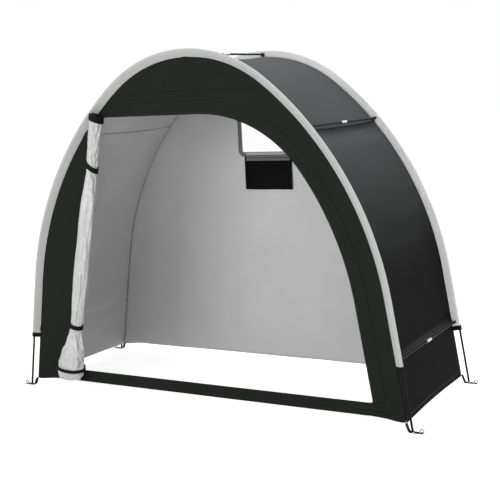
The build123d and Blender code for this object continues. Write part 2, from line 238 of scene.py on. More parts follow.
class FrameLine:
    """Pole axis of one arch in its own plane, measured along from the right foot."""

    def __init__(self, given):
        self.lean, self.turn, self.leg = given.leg_lean, given.crown_angle, given.leg_length
        self.up = Vector((-sin(self.lean), 0, cos(self.lean)))
        self.inward = Vector((-cos(self.lean), 0, -sin(self.lean)))
        self.foot = Vector((given.foot_span / 2, 0, 0))
        self.knee = self.foot + self.up * self.leg
        rest = high(given.arch_height) - self.knee
        run, rise = cos(self.lean) - cos(self.turn), sin(self.turn) - sin(self.lean)
        crown_run, crown_rise = cos(self.turn), 1 - sin(self.turn)
        cross = run * crown_rise - crown_run * rise
        self.shoulder_radius = -(rest.x * crown_rise + crown_run * rest.z) / cross
        self.crown_radius = (run * rest.z + rest.x * rise) / cross
        self.shoulder = self.knee + self.inward * self.shoulder_radius
        self.crown = high(given.arch_height - self.crown_radius)
        self.to_crown = self.leg + self.shoulder_radius * (self.turn - self.lean)
        self.half = self.to_crown + self.crown_radius * (pi / 2 - self.turn)
        self.length = 2 * self.half

    def place(self, along, inset=0.0):
        """Point at a way along the line, moved inwards, and the outward direction there."""
        if along > self.half:
            point, out = self.place(self.length - along, inset)
            return flipped(point), flipped(out)
        if along <= self.leg:
            return self.foot + self.up * along + self.inward * inset, -self.inward
        if along <= self.to_crown:
            centre, radius = self.shoulder, self.shoulder_radius
            turn = self.lean + (along - self.leg) / radius
        else:
            centre, radius = self.crown, self.crown_radius
            turn = self.turn + (along - self.to_crown) / radius
        out = Vector((cos(turn), 0, sin(turn)))
        return centre + out * (radius - inset), out

    def along(self, place):
        """Way along the line of a point, and how far inside the line it is."""
        point = Vector((abs(place.x), 0, place.z))
        if (point - self.knee).dot(self.up) <= 0:
            way, inset = (point - self.foot).dot(self.up), (point - self.foot).dot(self.inward)
        else:
            spoke = point - self.shoulder
            turn = atan2(spoke.z, spoke.x)
            way, inset = self.shoulder_way(turn), self.shoulder_radius - spoke.length
            if turn > self.turn:
                spoke = point - self.crown
                way = self.to_crown + (atan2(spoke.z, spoke.x) - self.turn) * self.crown_radius
                inset = self.crown_radius - spoke.length
        return (way if place.x >= 0 else self.length - way), inset

    def leg_way(self, inset, height):
        """Way up the leg at which the inset leg line reaches a height."""
        return (height + inset * sin(self.lean)) / cos(self.lean)

    def half_width(self, inset, height):
        """Half width of the inset arch at a height on its shoulders."""
        rise = height - self.shoulder.z
        return self.shoulder.x + sqrt((self.shoulder_radius - inset) ** 2 - rise**2)

    def shoulder_way(self, turn):
        """Way along of an angle on the right shoulder."""
        return self.leg + (turn - self.lean) * self.shoulder_radius

    def corner(self, given):
        """Way along and place of the cloth's right corner."""
        way = self.leg_way(given.sleeve_reach, given.corner_height)
        return way, self.place(way, given.sleeve_reach)[0]

    def path(self, start):
        """From a way up the right leg over the crown to the same way up the left leg."""
        bend = self.turn - self.lean
        return (
            straight(self.up * (self.leg - start)),
            arc(self.shoulder, bend, self.shoulder_radius),
            arc(self.crown, pi - 2 * self.turn, self.crown_radius),
            arc(flipped(self.shoulder), bend, self.shoulder_radius),
            straight(-flipped(self.up) * (self.leg - start)),
        )


class Doorway:
    """Edge of the doorway: straight on the left, along the arch on the right, level at the top."""

    def __init__(self, given, line):
        self.line, self.inset = line, given.door_inset
        sill, top, reach = given.sill_top, given.arch_height - given.door_header, given.sleeve_reach
        self.start = line.leg_way(self.inset, sill)
        self.left_top = Vector((given.jamb_top - line.half_width(reach, top), 0, top))
        sill_half = line.place(line.leg_way(reach, sill), reach)[0].x
        self.left_foot = Vector((given.jamb_foot - sill_half, 0, sill))
        self.round = given.door_round
        gap, rise = line.shoulder_radius - self.inset - self.round, top - self.round - line.shoulder.z
        run = sqrt(gap**2 - rise**2)
        self.corner = line.shoulder + Vector((run, 0, rise))
        self.turn = atan2(rise, run)
        self.level = self.corner.x - self.left_top.x

    def path(self, start, level):
        """From a way up the right leg round to a point of the level top."""
        line = self.line
        side_radius = 0.9  # near enough for counting stitches
        return (
            straight(line.up * (line.leg - start)),
            arc(line.shoulder, self.turn - line.lean, side_radius),
            arc(self.corner, pi / 2 - self.turn, self.round),
            straight(Vector((-level, 0, 0))),
        )


# Mesh helpers
def spin(bm, geom, steps, centre=(0, 0, 0), turn=0.0, move=(0, 0, 0), axis=(0, -1, 0), copies=False):
    """Carry geometry round a centre, or straight on, and leave faces, edges or copies behind it."""
    made = bmesh.ops.spin(
        bm, geom=geom, cent=centre, axis=axis, dvec=Vector(move) / steps, angle=turn, steps=steps, use_duplicate=copies
    )
    return made["geom_last"]


def carry(bm, geom, path, counts):
    """Take geometry along a path, with a number of steps for each piece of it."""
    for (_, way), count in zip(path, counts):
        geom = spin(bm, geom, count, **way)
    return geom


def split(bm, edge, parts):
    """Divide an edge into equal parts."""
    bmesh.ops.subdivide_edges(bm, edges=[edge], cuts=parts - 1)


def everything(bm):
    return bm.verts[:] + bm.edges[:] + bm.faces[:]


def ring_of(bm, radius, segments):
    """Vertices and edges of a new circle about the origin."""
    made = bmesh.ops.create_circle(bm, cap_ends=False, radius=radius, segments=segments)["verts"]
    return made, list({edge for vert in made for edge in vert.link_edges})


def upright_grid(bm, middle, wide, tall, columns, rows):
    """Flat grid that stands along X."""
    place = Matrix.Translation(middle) @ Matrix.Rotation(pi / 2, 4, "X") @ Matrix.Diagonal((wide, tall, 1, 1))
    return bmesh.ops.create_grid(bm, x_segments=columns, y_segments=rows, size=0.5, matrix=place)["verts"]


def add_left_side(bm):
    """Add the mirror image of all that there is."""
    twins = bmesh.ops.duplicate(bm, geom=everything(bm))["geom"]
    bmesh.ops.scale(bm, vec=(-1, 1, 1), verts=[item for item in twins if isinstance(item, bmesh.types.BMVert)])


def even_normals(bm):
    bmesh.ops.recalc_face_normals(bm, faces=bm.faces[:])


def face_towards(bm, outward):
    """Turn all faces the way that outward gives at a face's middle."""
    even_normals(bm)
    if sum(face.normal.dot(outward(face.calc_center_median())) for face in bm.faces) < 0:
        bmesh.ops.reverse_faces(bm, faces=bm.faces[:])


def lay_out(bm, where):
    """Give each vertex its place on the flat cloth, in metres."""
    layer = bm.loops.layers.uv.new("cloth")
    for face in bm.faces:
        for loop in face.loops:
            loop[layer].uv = where(loop.vert)


def lay_flat(bm, outward):
    """Lay out upright cloth that faces the given way, and measure it."""
    face_towards(bm, outward)
    lay_out(bm, lambda vert: (vert.co.x, vert.co.z))
    return flat_area(bm)


def lay_over(bm, line):
    """Lay out cloth that runs over the arches."""
    lay_out(bm, lambda vert: (line.along(vert.co)[0], vert.co.y))


def flat_area(bm):
    return sum(face.calc_area() for face in bm.faces)


def to_front(point):
    return deep(-1)


def to_back(point):
    return deep(1)


def outward(point):
    """Away from the middle of the shelter."""
    return point - high(sizes().leg_length)


def inward(point):
    return -outward(point)


def hang(bm, where):
    """Move every vertex off its plane by a ripple."""
    for vert in bm.verts:
        vert.co.y += where(vert.co)


def make_piece(bm, name, materials, nodes=(), levels=0, thickness=0.0, offset=-1.0):
    """Turn a bmesh into a piece that rides on the shelter and stands for its frame nodes."""
    mesh = bpy.data.meshes.new(name)
    bm.to_mesh(mesh)
    bm.free()
    for material in materials:
        mesh.materials.append(finish(material))
    mesh.shade_smooth()
    piece = bpy.data.objects.new(name, mesh)
    bpy.context.scene.collection.objects.link(piece)
    if levels:
        smooth = piece.modifiers.new("Smooth cloth", "SUBSURF")
        smooth.levels = smooth.render_levels = levels
    if thickness:
        wall = piece.modifiers.new("Thickness", "SOLIDIFY")
        wall.thickness, wall.offset = thickness, offset
        wall.material_offset = len(materials) - 1
    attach(piece, "root")
    if nodes:
        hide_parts(*nodes)
    return piece


def make_webbing(bm, name, node, thickness):
    """Turn a bmesh into a piece of webbing, as thick inwards as outwards."""
    make_piece(bm, name, ("black_webbing",), (node,), levels=1, thickness=thickness, offset=0.0)


# Materials
FLOAT, VECTOR, COLOUR = "NodeSocketFloat", "NodeSocketVector", "NodeSocketColor"
WHITE, MID_GREY, BLACK = (1.0, 1.0, 1.0, 1.0), (0.5, 0.5, 0.5, 1.0), (0.0, 0.0, 0.0, 1.0)

# Cloth: unevenness of its tone, shade between threads, depths of its relief, and the slope of the surface over which
# painted top light comes in
TONE_SWING, THREAD_SHADE = 0.14, 0.22
WEAVE_DEPTH, CREASE_DEPTH, FACET_DEPTH = 0.0003, 0.004, 0.006
PAINTED_LIGHT_FROM, PAINTED_LIGHT_TO = 0.17, 0.72

CLOTHS = {
    # Painted shade and light: the canopy's cloth is darker on its sides and lighter on its top than the same cloth in
    # the walls
    "black_tent_cloth": {"paint": "painted_shade_black", "roughness": 0.6, "gloss": 0.015, "painted_light": "painted_top_light"},
    "black_panel_cloth": {"paint": "panel_cloth", "roughness": 0.62, "gloss": 0.04},
    "black_cover_cloth": {"paint": "cover_cloth", "roughness": 0.7, "gloss": 0.05},
    "silver_coated_cloth": {"paint": "silver_cloth", "roughness": 0.5, "gloss": 0.35, "metal": 0.1, "creases": 0.45},
    # Painted light: the roll's silver is a lighter copy of the inside coating
    "silver_crinkled_cloth": {
        "paint": "roll_cloth", "roughness": 0.4, "gloss": 0.4, "metal": 0.15, "creases": 0.7, "facets": 0.7
    },
    "grey_sleeve_cloth": {"paint": "sleeve_cloth", "roughness": 0.7, "gloss": 0.25, "pitch": 0.0014, "sheen": 0.1},
    # Painted light: the rear sleeve is a lighter copy of the front sleeve's cloth
    "pale_sleeve_cloth": {"paint": "rear_sleeve_painted_light", "roughness": 0.7, "gloss": 0.25, "pitch": 0.0014, "sheen": 0.1},
    "grey_tape_cloth": {"paint": "tape", "roughness": 0.75, "gloss": 0.2, "pitch": 0.0016},
    "pale_tape_cloth": {"paint": "pale_tape", "roughness": 0.75, "gloss": 0.2, "pitch": 0.0016},
    "black_webbing": {"paint": "webbing", "roughness": 0.75, "gloss": 0.1, "pitch": 0.0022},
}
SOLIDS = {
    "black_fibreglass": {"paint": "pole", "roughness": 0.42, "scale": 300.0, "uneven": 0.2, "gloss": 0.06},
    "plated_steel": {
        "paint": "steel", "roughness": 0.28, "scale": 500.0, "uneven": 0.1, "metal": 1.0, "stretch": (1, 0.15, 1)
    },
    "dull_steel": {"paint": "dull_steel", "roughness": 0.5, "scale": 400.0, "uneven": 0.2, "metal": 0.8},
    "moulded_black_plastic": {"paint": "plastic", "roughness": 0.45, "scale": 900.0, "uneven": 0.15, "gloss": 0.2},
    "pale_thread": {"paint": "pale_thread", "roughness": 0.7, "scale": 800.0, "uneven": 0.2},
    "dark_thread": {"paint": "thread", "roughness": 0.7, "scale": 800.0, "uneven": 0.2},
}


def put(tree, kind, inputs=None, **settings):
    """Add a node; an input is a value or the socket that feeds it."""
    node = tree.nodes.new(kind)
    for key, value in settings.items():
        setattr(node, key, value)
    for key, value in (inputs or {}).items():
        if isinstance(value, bpy.types.NodeSocket):
            tree.links.new(value, node.inputs[key])
        else:
            node.inputs[key].default_value = value
    return node


def calc(tree, operation, first, second=0.0, third=0.0):
    """Output of a Math node."""
    return put(tree, "ShaderNodeMath", {0: first, 1: second, 2: third}, operation=operation).outputs[0]


def blend(tree, share, first, second):
    """Mix of two colours."""
    return put(tree, "ShaderNodeMix", {"Factor": share, 6: first, 7: second}, data_type="RGBA").outputs[2]


def grain(tree, place, scale, detail, **more):
    """Noise at a scale."""
    return put(tree, "ShaderNodeTexNoise", {"Vector": place, "Scale": scale, "Detail": detail, **more}).outputs


def emboss(tree, height, strength, distance, **below):
    """Normal that a height gives."""
    levels = {"Height": height, "Strength": strength, "Distance": distance, **below}
    return put(tree, "ShaderNodeBump", levels).outputs[0]


def new_group(name, inputs, outputs):
    """Empty shader group with named sockets; gives its tree and its input sockets."""
    tree = bpy.data.node_groups.new(name, "ShaderNodeTree")
    for socket, kind, default in inputs:
        made = tree.interface.new_socket(name=socket, in_out="INPUT", socket_type=kind)
        if default is not None:
            made.default_value = default
    for socket, kind in outputs:
        tree.interface.new_socket(name=socket, in_out="OUTPUT", socket_type=kind)
    return tree, tree.nodes.new("NodeGroupInput").outputs


def weave_group():
    """Plain weave: warp and weft threads that pass over each other in turn."""
    if "Plain weave" in bpy.data.node_groups:
        return bpy.data.node_groups["Plain weave"]
    tree, given = new_group(
        "Plain weave", [("Place", VECTOR, None), ("Pitch", FLOAT, 0.001)], [("Height", FLOAT), ("Gap", FLOAT)]
    )
    place = put(tree, "ShaderNodeSeparateXYZ", {0: given["Place"]}).outputs
    across, down = (calc(tree, "DIVIDE", place[way], given["Pitch"]) for way in "XY")
    warp, weft = (
        calc(tree, "ABSOLUTE", calc(tree, "SINE", calc(tree, "MULTIPLY", way, pi))) for way in (across, down)
    )
    cells = calc(tree, "ADD", calc(tree, "FLOOR", across), calc(tree, "FLOOR", down))
    over = calc(tree, "FLOORED_MODULO", cells, 2.0)
    height = put(tree, "ShaderNodeMix", {"Factor": over, 2: warp, 3: weft}).outputs[0]
    gap = calc(tree, "SUBTRACT", 1.0, calc(tree, "MULTIPLY", warp, weft))
    put(tree, "NodeGroupOutput", {"Height": height, "Gap": gap})
    return tree


def tone_group():
    """Soft patches and fine flecks that keep a plain cloth from looking painted."""
    if "Cloth tone" in bpy.data.node_groups:
        return bpy.data.node_groups["Cloth tone"]
    tree, given = new_group(
        "Cloth tone",
        [("Place", VECTOR, None), ("Colour", COLOUR, None), ("Amount", FLOAT, 0.15), ("Roughness", FLOAT, 0.6)],
        [("Colour", COLOUR), ("Roughness", FLOAT), ("Creases", FLOAT)],
    )
    patches = grain(tree, given["Place"], 4.0, 4.0)[0]
    flecks = grain(tree, given["Place"], 420.0, 2.0)[0]
    both = calc(tree, "ADD", calc(tree, "MULTIPLY", patches, 0.7), calc(tree, "MULTIPLY", flecks, 0.3))
    swing = calc(tree, "MULTIPLY", calc(tree, "SUBTRACT", both, 0.5), calc(tree, "MULTIPLY", given["Amount"], 2.0))
    tone = calc(tree, "ADD", swing, 1.0)
    painted = put(tree, "ShaderNodeVectorMath", {0: given["Colour"], "Scale": tone}, operation="SCALE").outputs[0]
    rough = calc(tree, "SUBTRACT", given["Roughness"], calc(tree, "MULTIPLY", swing, 0.5))
    creases = grain(tree, given["Place"], 11.0, 3.0, Distortion=0.8)[0]
    put(tree, "NodeGroupOutput", {"Colour": painted, "Roughness": rough, "Creases": creases})
    return tree


def toned(tree, place, tint, roughness, amount):
    """Outputs of the tone group in a material."""
    inputs = {"Place": place, "Colour": tint, "Roughness": roughness, "Amount": amount}
    return put(tree, "ShaderNodeGroup", inputs, node_tree=tone_group()).outputs


def new_material(name):
    """Tree of a new, empty node material."""
    material = bpy.data.materials.new(name)
    material.use_nodes = True
    material.node_tree.nodes.clear()
    return material.node_tree


def object_place(tree):
    return put(tree, "ShaderNodeTexCoord").outputs["Object"]


def close_material(tree, inputs):
    """Principled shader and output of a material."""
    shader = put(tree, "ShaderNodeBsdfPrincipled", inputs)
    put(tree, "ShaderNodeOutputMaterial", {"Surface": shader.outputs[0]})


def make_cloth(
    name, paint, roughness, gloss, pitch=0.0012, creases=0.25, metal=0.0, sheen=0.0, painted_light=None, facets=0.0
):
    """Woven cloth with soft creases; painted_light names a lighter colour painted where it faces the sky, as painted
    top light and sheen.
    """
    tree = new_material(name)
    flat = put(tree, "ShaderNodeUVMap", uv_map="cloth").outputs[0]
    place = object_place(tree)
    tint = (*getattr(paints(), paint), 1.0)
    # Painted top light: the colour turns lighter as the surface faces up
    if painted_light:
        normal = put(tree, "ShaderNodeNewGeometry").outputs["Normal"]
        level = put(tree, "ShaderNodeSeparateXYZ", {0: normal}).outputs["Z"]
        span = {"Value": level, "From Min": PAINTED_LIGHT_FROM, "From Max": PAINTED_LIGHT_TO}
        share = put(tree, "ShaderNodeMapRange", span, interpolation_type="SMOOTHSTEP").outputs[0]
        tint = blend(tree, share, tint, (*getattr(paints(), painted_light), 1.0))
    tone = toned(tree, place, tint, roughness, TONE_SWING)
    weave = put(tree, "ShaderNodeGroup", {"Place": flat, "Pitch": pitch}, node_tree=weave_group()).outputs
    shaded = blend(tree, calc(tree, "MULTIPLY", weave["Gap"], THREAD_SHADE), tone["Colour"], BLACK)
    normal = emboss(tree, tone["Creases"], creases, CREASE_DEPTH)
    if facets:
        bent = {0: grain(tree, place, 14.0, 2.0)[1], 1: (0.09, 0.09, 0.09), 2: place}
        moved = put(tree, "ShaderNodeVectorMath", bent, operation="MULTIPLY_ADD").outputs[0]
        cells = put(tree, "ShaderNodeTexVoronoi", {"Vector": moved, "Scale": 34.0}).outputs["Distance"]
        normal = emboss(tree, cells, facets, FACET_DEPTH, Normal=normal)
    close_material(
        tree,
        {
            "Base Color": shaded,
            "Roughness": tone["Roughness"],
            "Normal": emboss(tree, weave["Height"], 0.3, WEAVE_DEPTH, Normal=normal),
            "Specular IOR Level": gloss,
            "Metallic": metal,
            "Sheen Weight": sheen,
        },
    )


def make_solid(name, paint, roughness, scale, uneven, gloss=0.5, metal=0.0, stretch=(1, 1, 1)):
    """Hard finish with grain along one way and light handling marks."""
    tree = new_material(name)
    place = put(tree, "ShaderNodeMapping", {"Vector": object_place(tree), "Scale": stretch}).outputs[0]
    tone = toned(tree, place, (*getattr(paints(), paint), 1.0), roughness, uneven)
    lines = grain(tree, place, scale, 3.0)[0]
    close_material(
        tree,
        {
            "Base Color": tone["Colour"],
            "Roughness": tone["Roughness"],
            "Normal": emboss(tree, lines, 0.2, 0.0002),
            "Specular IOR Level": gloss,
            "Metallic": metal,
        },
    )


def make_clear_sheet(name):
    """Soft clear film with a faint haze."""
    tree = new_material(name)
    waves = grain(tree, object_place(tree), 9.0, 2.0)[0]
    close_material(
        tree,
        {
            "Base Color": (*paints().clear, 1.0),
            "Roughness": calc(tree, "MULTIPLY_ADD", waves, 0.12, 0.03),
            "Normal": emboss(tree, waves, 0.2, 0.002),
            "IOR": 1.45,
            "Alpha": 0.06,
        },
    )


def finish(name):
    """The named material, made the first time that it is asked for."""
    if name not in bpy.data.materials:
        if name in CLOTHS:
            make_cloth(name, **CLOTHS[name])
        elif name in SOLIDS:
            make_solid(name, **SOLIDS[name])
        else:
            make_clear_sheet(name)
    return bpy.data.materials[name]


# Canopy
CANOPY_STEPS, CANOPY_ROWS = (30, 60, 44, 60, 30), 36
CANOPY_SAG, SEAM_PULL = 0.012, 0.008
SEAM_LIFT, SEAM_THICK = 0.0009, 0.0008
HEM_WIDTH = 0.02


def canopy_place(given, line, way, across):
    """Place of the canopy in its arch plane, a way along the frame line and a share of the depth."""
    reach, seam, start = given.sleeve_reach, given.lower_seam, line.corner(given)[0]
    side = min(way, line.length - way)
    hollow = 4 * across * (1 - across)
    if side < seam:
        hem = line.leg_way(reach, given.corner_height + (given.side_hem - given.corner_height) * hollow)
        side = hem + (seam - hem) * ((side - start) / (seam - start))
        way = side if way < line.half else line.length - side
    point, out = line.place(way, reach)
    upper = line.shoulder_way(given.upper_seam)
    below = ease(upper, upper - 0.028, side) * ease(upper - 0.12, upper - 0.03, side)
    above = ease(seam, seam + 0.022, side) * ease(seam + 0.1, seam + 0.025, side)
    drawn = CANOPY_SAG * hollow * ease(0.1, 0.9, side) + SEAM_PULL * (below + above) * ease(0.0, 0.25, hollow)
    folds = 0.0016 * ripple(way * 5, across * 1.6) + 0.0009 * ripple(way * 16, across * 2.4, 3.0)
    return point - out * (drawn - folds * ease(0.0, 0.5, hollow))


def make_canopy():
    """One sheet from hem to hem over both arches, drawn in between them and at its side seams."""
    given, line = shape()
    front, rear = wall_planes()
    start, corner = line.corner(given)
    bm = bmesh.new()
    split(bm, bm.edges.new([bm.verts.new(corner + deep(y)) for y in (front, rear)]), CANOPY_ROWS)
    carry(bm, everything(bm), line.path(start), CANOPY_STEPS)
    lay_over(bm, line)
    area = flat_area(bm)
    face_towards(bm, outward)
    for vert in bm.verts:
        way, y = line.along(vert.co)[0], vert.co.y
        vert.co = canopy_place(given, line, way, (y - front) / (rear - front)) + deep(y)
    piece = make_piece(
        bm,
        "canopy_cloth",
        ("black_tent_cloth", "silver_coated_cloth"),
        ("right_skirt", "right_side", "roof", "left_side", "left_skirt"),
        levels=1,
        thickness=given.cloth,
    )


def canopy_band(bm, way, wide, lift):
    """Strip of cloth that follows the canopy from arch to arch, just short of the walls."""
    given, line = shape()
    short = 0.004
    front, rear = wall_planes()
    for vert in bmesh.ops.create_grid(bm, x_segments=3, y_segments=CANOPY_ROWS, size=0.5)["verts"]:
        across, spot = vert.co.y + 0.5, way + vert.co.x * wide
        place = canopy_place(given, line, spot, across) + line.place(spot)[1] * lift
        vert.co = place + deep(front + short + (rear - front - 2 * short) * across)


def seam_ways(given, line):
    """Ways along of the canopy's seams on both sides."""
    seams = (given.lower_seam, line.shoulder_way(given.upper_seam))
    return [way for seam in seams for way in (seam, line.length - seam)]


def make_seam_bands():
    """Felled seams and turned hems of the canopy."""
    given, line = shape()
    seam_width, seam_shift, hem_rise = 0.013, 0.004, 0.0125
    hem = line.corner(given)[0] + hem_rise
    bm = bmesh.new()
    for way in seam_ways(given, line):
        canopy_band(bm, way - seam_shift, seam_width, SEAM_LIFT)
    for way in (hem, line.length - hem):
        canopy_band(bm, way, HEM_WIDTH, SEAM_LIFT)
    face_towards(bm, outward)
    lay_over(bm, line)
    make_piece(bm, "canopy_seam_bands", ("black_tent_cloth",), levels=1, thickness=SEAM_THICK)


def make_seam_tapes():
    """Tapes over the canopy's seams, inside."""
    given, line = shape()
    tape_width = 0.005
    bm = bmesh.new()
    for way in seam_ways(given, line):
        canopy_band(bm, way, tape_width, -given.cloth - SEAM_THICK)
    face_towards(bm, inward)
    lay_over(bm, line)
    make_piece(bm, "canopy_seam_tapes", ("grey_tape_cloth",), thickness=0.0006)


# Walls
WALL_STEPS, HEM_STEPS = (12, 20, 24, 20, 12), 48
DOOR_STEPS, FLAP_STEPS = (10, 12, 14, 24, 28), (20, 30, 36, 30)
FLAP_LIFT = 0.0016


def wall_loop(bm, y):
    """Closed outline of a wall, with its hem turned down to the corners."""
    given, line = shape()
    start, corner = line.corner(given)
    first = bm.verts.new(corner + deep(y))
    last = carry(bm, [first], line.path(start), WALL_STEPS)
    split(bm, bm.edges.new((last[0], first)), HEM_STEPS)
    for vert in bm.verts:
        if vert.co.z < given.corner_height + 1e-5 and abs(vert.co.x) < corner.x:
            share = ease(0.0, given.hem_corner * 1.6, corner.x - abs(vert.co.x))
            vert.co.z = given.corner_height + (given.front_hem - given.corner_height) * share
    return bm.edges[:]


def doorway_loop(bm, y):
    """Closed outline of the doorway."""
    given, line = shape()
    door = Doorway(given, line)
    before = set(bm.edges)
    first = bm.verts.new(line.place(door.start, door.inset)[0] + deep(y))
    path = door.path(door.start, door.level) + (straight(door.left_foot - door.left_top),)
    last = carry(bm, [first], path, DOOR_STEPS)
    split(bm, bm.edges.new((last[0], first)), HEM_STEPS)
    return [edge for edge in bm.edges if edge not in before]


def window_sill(given):
    """Height of the window's clear foot."""
    return given.arch_height - given.window_header - given.window_height


def rounded_window(bm, y, grown):
    """Face with the window's outline, grown by a margin."""
    given = sizes()
    middle = given.arch_height - given.window_header - given.window_height / 2
    wide, tall = given.window_width + 2 * grown, given.window_height + 2 * grown
    made = upright_grid(bm, (0, y, middle), wide, tall, 1, 1)
    cut = bmesh.ops.bevel(
        bm,
        geom=made,
        offset=given.window_round + grown,
        offset_type="OFFSET",
        segments=6,
        profile=0.5,
        affect="VERTICES",
        material=-1,
    )
    return max({face for vert in cut["verts"] for face in vert.link_faces}, key=lambda face: face.calc_area())


def window_loop(bm, y):
    """Closed outline of the window, with as many points as a wall's outline."""
    face = rounded_window(bm, y, 0.0)
    made = set(face.edges)
    long = [edge for edge in face.edges if edge.calc_length() > 2 * sizes().window_round]
    bmesh.ops.delete(bm, geom=[face], context="FACES_ONLY")
    for edge in long:
        level = abs(edge.verts[0].co.z - edge.verts[1].co.z) < 1e-6
        cut = bmesh.ops.subdivide_edges(bm, edges=[edge], cuts=33 if level else 21)
        made.update(item for item in cut["geom"] if isinstance(item, bmesh.types.BMEdge))
    return [edge for edge in made if edge.is_valid]


def bridge(bm, outer, inner, rows):
    """Fill between two outlines with rows of faces."""
    rungs = bmesh.ops.bridge_loops(bm, edges=outer + inner)["edges"]
    bmesh.ops.subdivide_edges(bm, edges=rungs, cuts=rows - 1, use_grid_fill=True)
    bmesh.ops.subdivide_edges(bm, edges=bm.edges[:], cuts=1, use_grid_fill=True)


def front_ripple(place):
    """How far the front wall hangs off its plane."""
    given, line = shape()
    free = ease(0.0, 0.1, line.along(place)[1] - given.sleeve_reach)
    soft = 0.0016 * ripple(place.x * 3.5, place.z * 1.8, 7.0)
    jamb = 0.003 * sin(place.x * 95 + 4 * place.z) * exp(-place.z / 0.3) * ease(0.72, 0.8, place.x)
    return free * (soft + jamb)


def rear_ripple(place):
    """How far the rear wall hangs off its plane; it is flat round the window."""
    given, line = shape()
    sill = window_sill(given)
    near = max(abs(place.x) - given.window_width / 2, sill - place.z, place.z - sill - given.window_height)
    free = ease(0.0, 0.15, line.along(place)[1] - given.sleeve_reach) * ease(0.03, 0.2, near)
    return free * (0.008 * ripple(place.x * 2.2, place.z * 1.1, 5.0) + 0.003 * ripple(place.x * 7, place.z * 3, 9.0))


def wall_ripple(place):
    """How far the wall on this side hangs off its plane."""
    return front_ripple(place) if place.y < 0 else rear_ripple(place)


def make_front_wall():
    """Front cloth round the doorway."""
    front = wall_planes()[0]
    bm = bmesh.new()
    outer = wall_loop(bm, front)
    inner = doorway_loop(bm, front)
    bridge(bm, outer, inner, 10)
    area = lay_flat(bm, to_front)
    hang(bm, front_ripple)
    wall = make_piece(
        bm,
        "front_wall_cloth",
        ("black_panel_cloth", "silver_coated_cloth"),
        ("front_header", "front_left_jamb", "front_right_jamb", "front_sill"),
        levels=1,
        thickness=sizes().cloth,
    )


def make_storm_flap():
    """Strip along the doorway's edge, cut off at the sleeve and at the sill."""
    given, line = shape()
    door, wide = Doorway(given, line), given.flap_width
    out = deep(wall_planes()[0] - FLAP_LIFT)
    bm = bmesh.new()
    rim = [bm.verts.new(line.place(door.start, door.inset - margin)[0] + out) for margin in (0.0, wide)]
    split(bm, bm.edges.new(rim), 8)
    carry(bm, everything(bm), door.path(door.start, door.level), FLAP_STEPS)
    edge, away = line.place(line.along(door.left_top + high(wide / 2))[0], given.sleeve_reach)
    for place, way in ((edge - away * 0.003, away), (high(given.sill_top), high(-1))):
        bmesh.ops.bisect_plane(bm, geom=everything(bm), plane_co=place, plane_no=way, clear_outer=True)
    area = lay_flat(bm, to_front)
    hang(bm, lambda place: front_ripple(place) + 0.0005 * ripple(place.x * 9, place.z * 9, 2.0))
    piece = make_piece(
        bm, "storm_flap_cloth", ("black_panel_cloth",), ("storm_flap",), levels=1, thickness=given.cloth
    )


def make_header_seam():
    """Felled seam across the front wall above the doorway."""
    given, line = shape()
    below_crown, seam_width, short = 0.172, 0.011, 0.012
    height = given.arch_height - below_crown
    half = sqrt((line.crown_radius - given.sleeve_reach) ** 2 - (height - line.crown.z) ** 2) - short
    bm = bmesh.new()
    upright_grid(bm, (0, wall_planes()[0] - SEAM_LIFT, height), 2 * half, seam_width, 60, 2)
    lay_flat(bm, to_front)
    hang(bm, front_ripple)
    make_piece(bm, "header_seam_band", ("black_panel_cloth",), thickness=SEAM_THICK)


def make_wall_hems():
    """Turned hems along the foot of the front and rear walls."""
    given, line = shape()
    hem_rise = 0.0115
    half = line.corner(given)[1].x - given.hem_corner
    bm = bmesh.new()
    for y, side in zip(wall_planes(), (-1, 1)):
        middle = (0, y + side * SEAM_LIFT, given.front_hem + hem_rise)
        upright_grid(bm, middle, 2 * half, HEM_WIDTH, 160, 2)
    lay_flat(bm, lambda point: deep(point.y))
    hang(bm, wall_ripple)
    make_piece(bm, "wall_hem_bands", ("black_panel_cloth",), thickness=SEAM_THICK)


def make_rear_wall():
    """Rear cloth with an opening for the window."""
    given = sizes()
    rear = wall_planes()[1]
    bm = bmesh.new()
    outer = wall_loop(bm, rear)
    bridge(bm, outer, window_loop(bm, rear), 16)
    area = lay_flat(bm, to_back)
    hang(bm, rear_ripple)
    finishes = ("black_panel_cloth", "silver_coated_cloth")
    wall = make_piece(bm, "rear_wall_cloth", finishes, ("rear_wall",), levels=1, thickness=given.cloth)


# Window: how far each layer lies off the inside of the rear wall
SHEET_LIFT, BORDER_LIFT, COVER_LIFT, TAPE_LIFT, THREAD_LIFT = 0.0008, 0.0022, 0.0045, 0.0058, 0.0036
BORDER_OUTSIDE, BORDER_WIDTH = 0.01, 0.022

# Tapes across the window's foot: name, cloth, and both edges measured from the foot of the clear sheet
FOOT_TAPES = (
    ("window_foot_tape_pale", "pale_tape_cloth", 0.0125, 0.026),
    ("window_foot_tape_upper", "grey_tape_cloth", 0.0, 0.0115),
    ("window_foot_tape_lower", "grey_tape_cloth", -0.016, -0.0015),
)


def inner_face():
    """Y of the rear wall's inside."""
    return wall_planes()[1] - sizes().cloth


def make_window():
    """Clear sheet and its tape border."""
    given = sizes()
    bm = bmesh.new()
    rounded_window(bm, inner_face() - SHEET_LIFT, given.window_lap)
    face_towards(bm, to_front)
    area = flat_area(bm)
    pane = make_piece(
        bm, "window_sheet", ("clear_window_sheet",), ("window_pane",), thickness=0.0006, offset=0.0
    )
    bm = bmesh.new()
    face = rounded_window(bm, inner_face() - BORDER_LIFT, BORDER_OUTSIDE)
    bmesh.ops.inset_region(bm, faces=[face], thickness=BORDER_WIDTH, use_even_offset=True, use_boundary=True)
    bmesh.ops.delete(bm, geom=[max(bm.faces, key=lambda item: item.calc_area())], context="FACES")
    lay_flat(bm, to_front)
    make_piece(bm, "window_tape_border", ("grey_tape_cloth",), ("window_border",), thickness=0.0012)


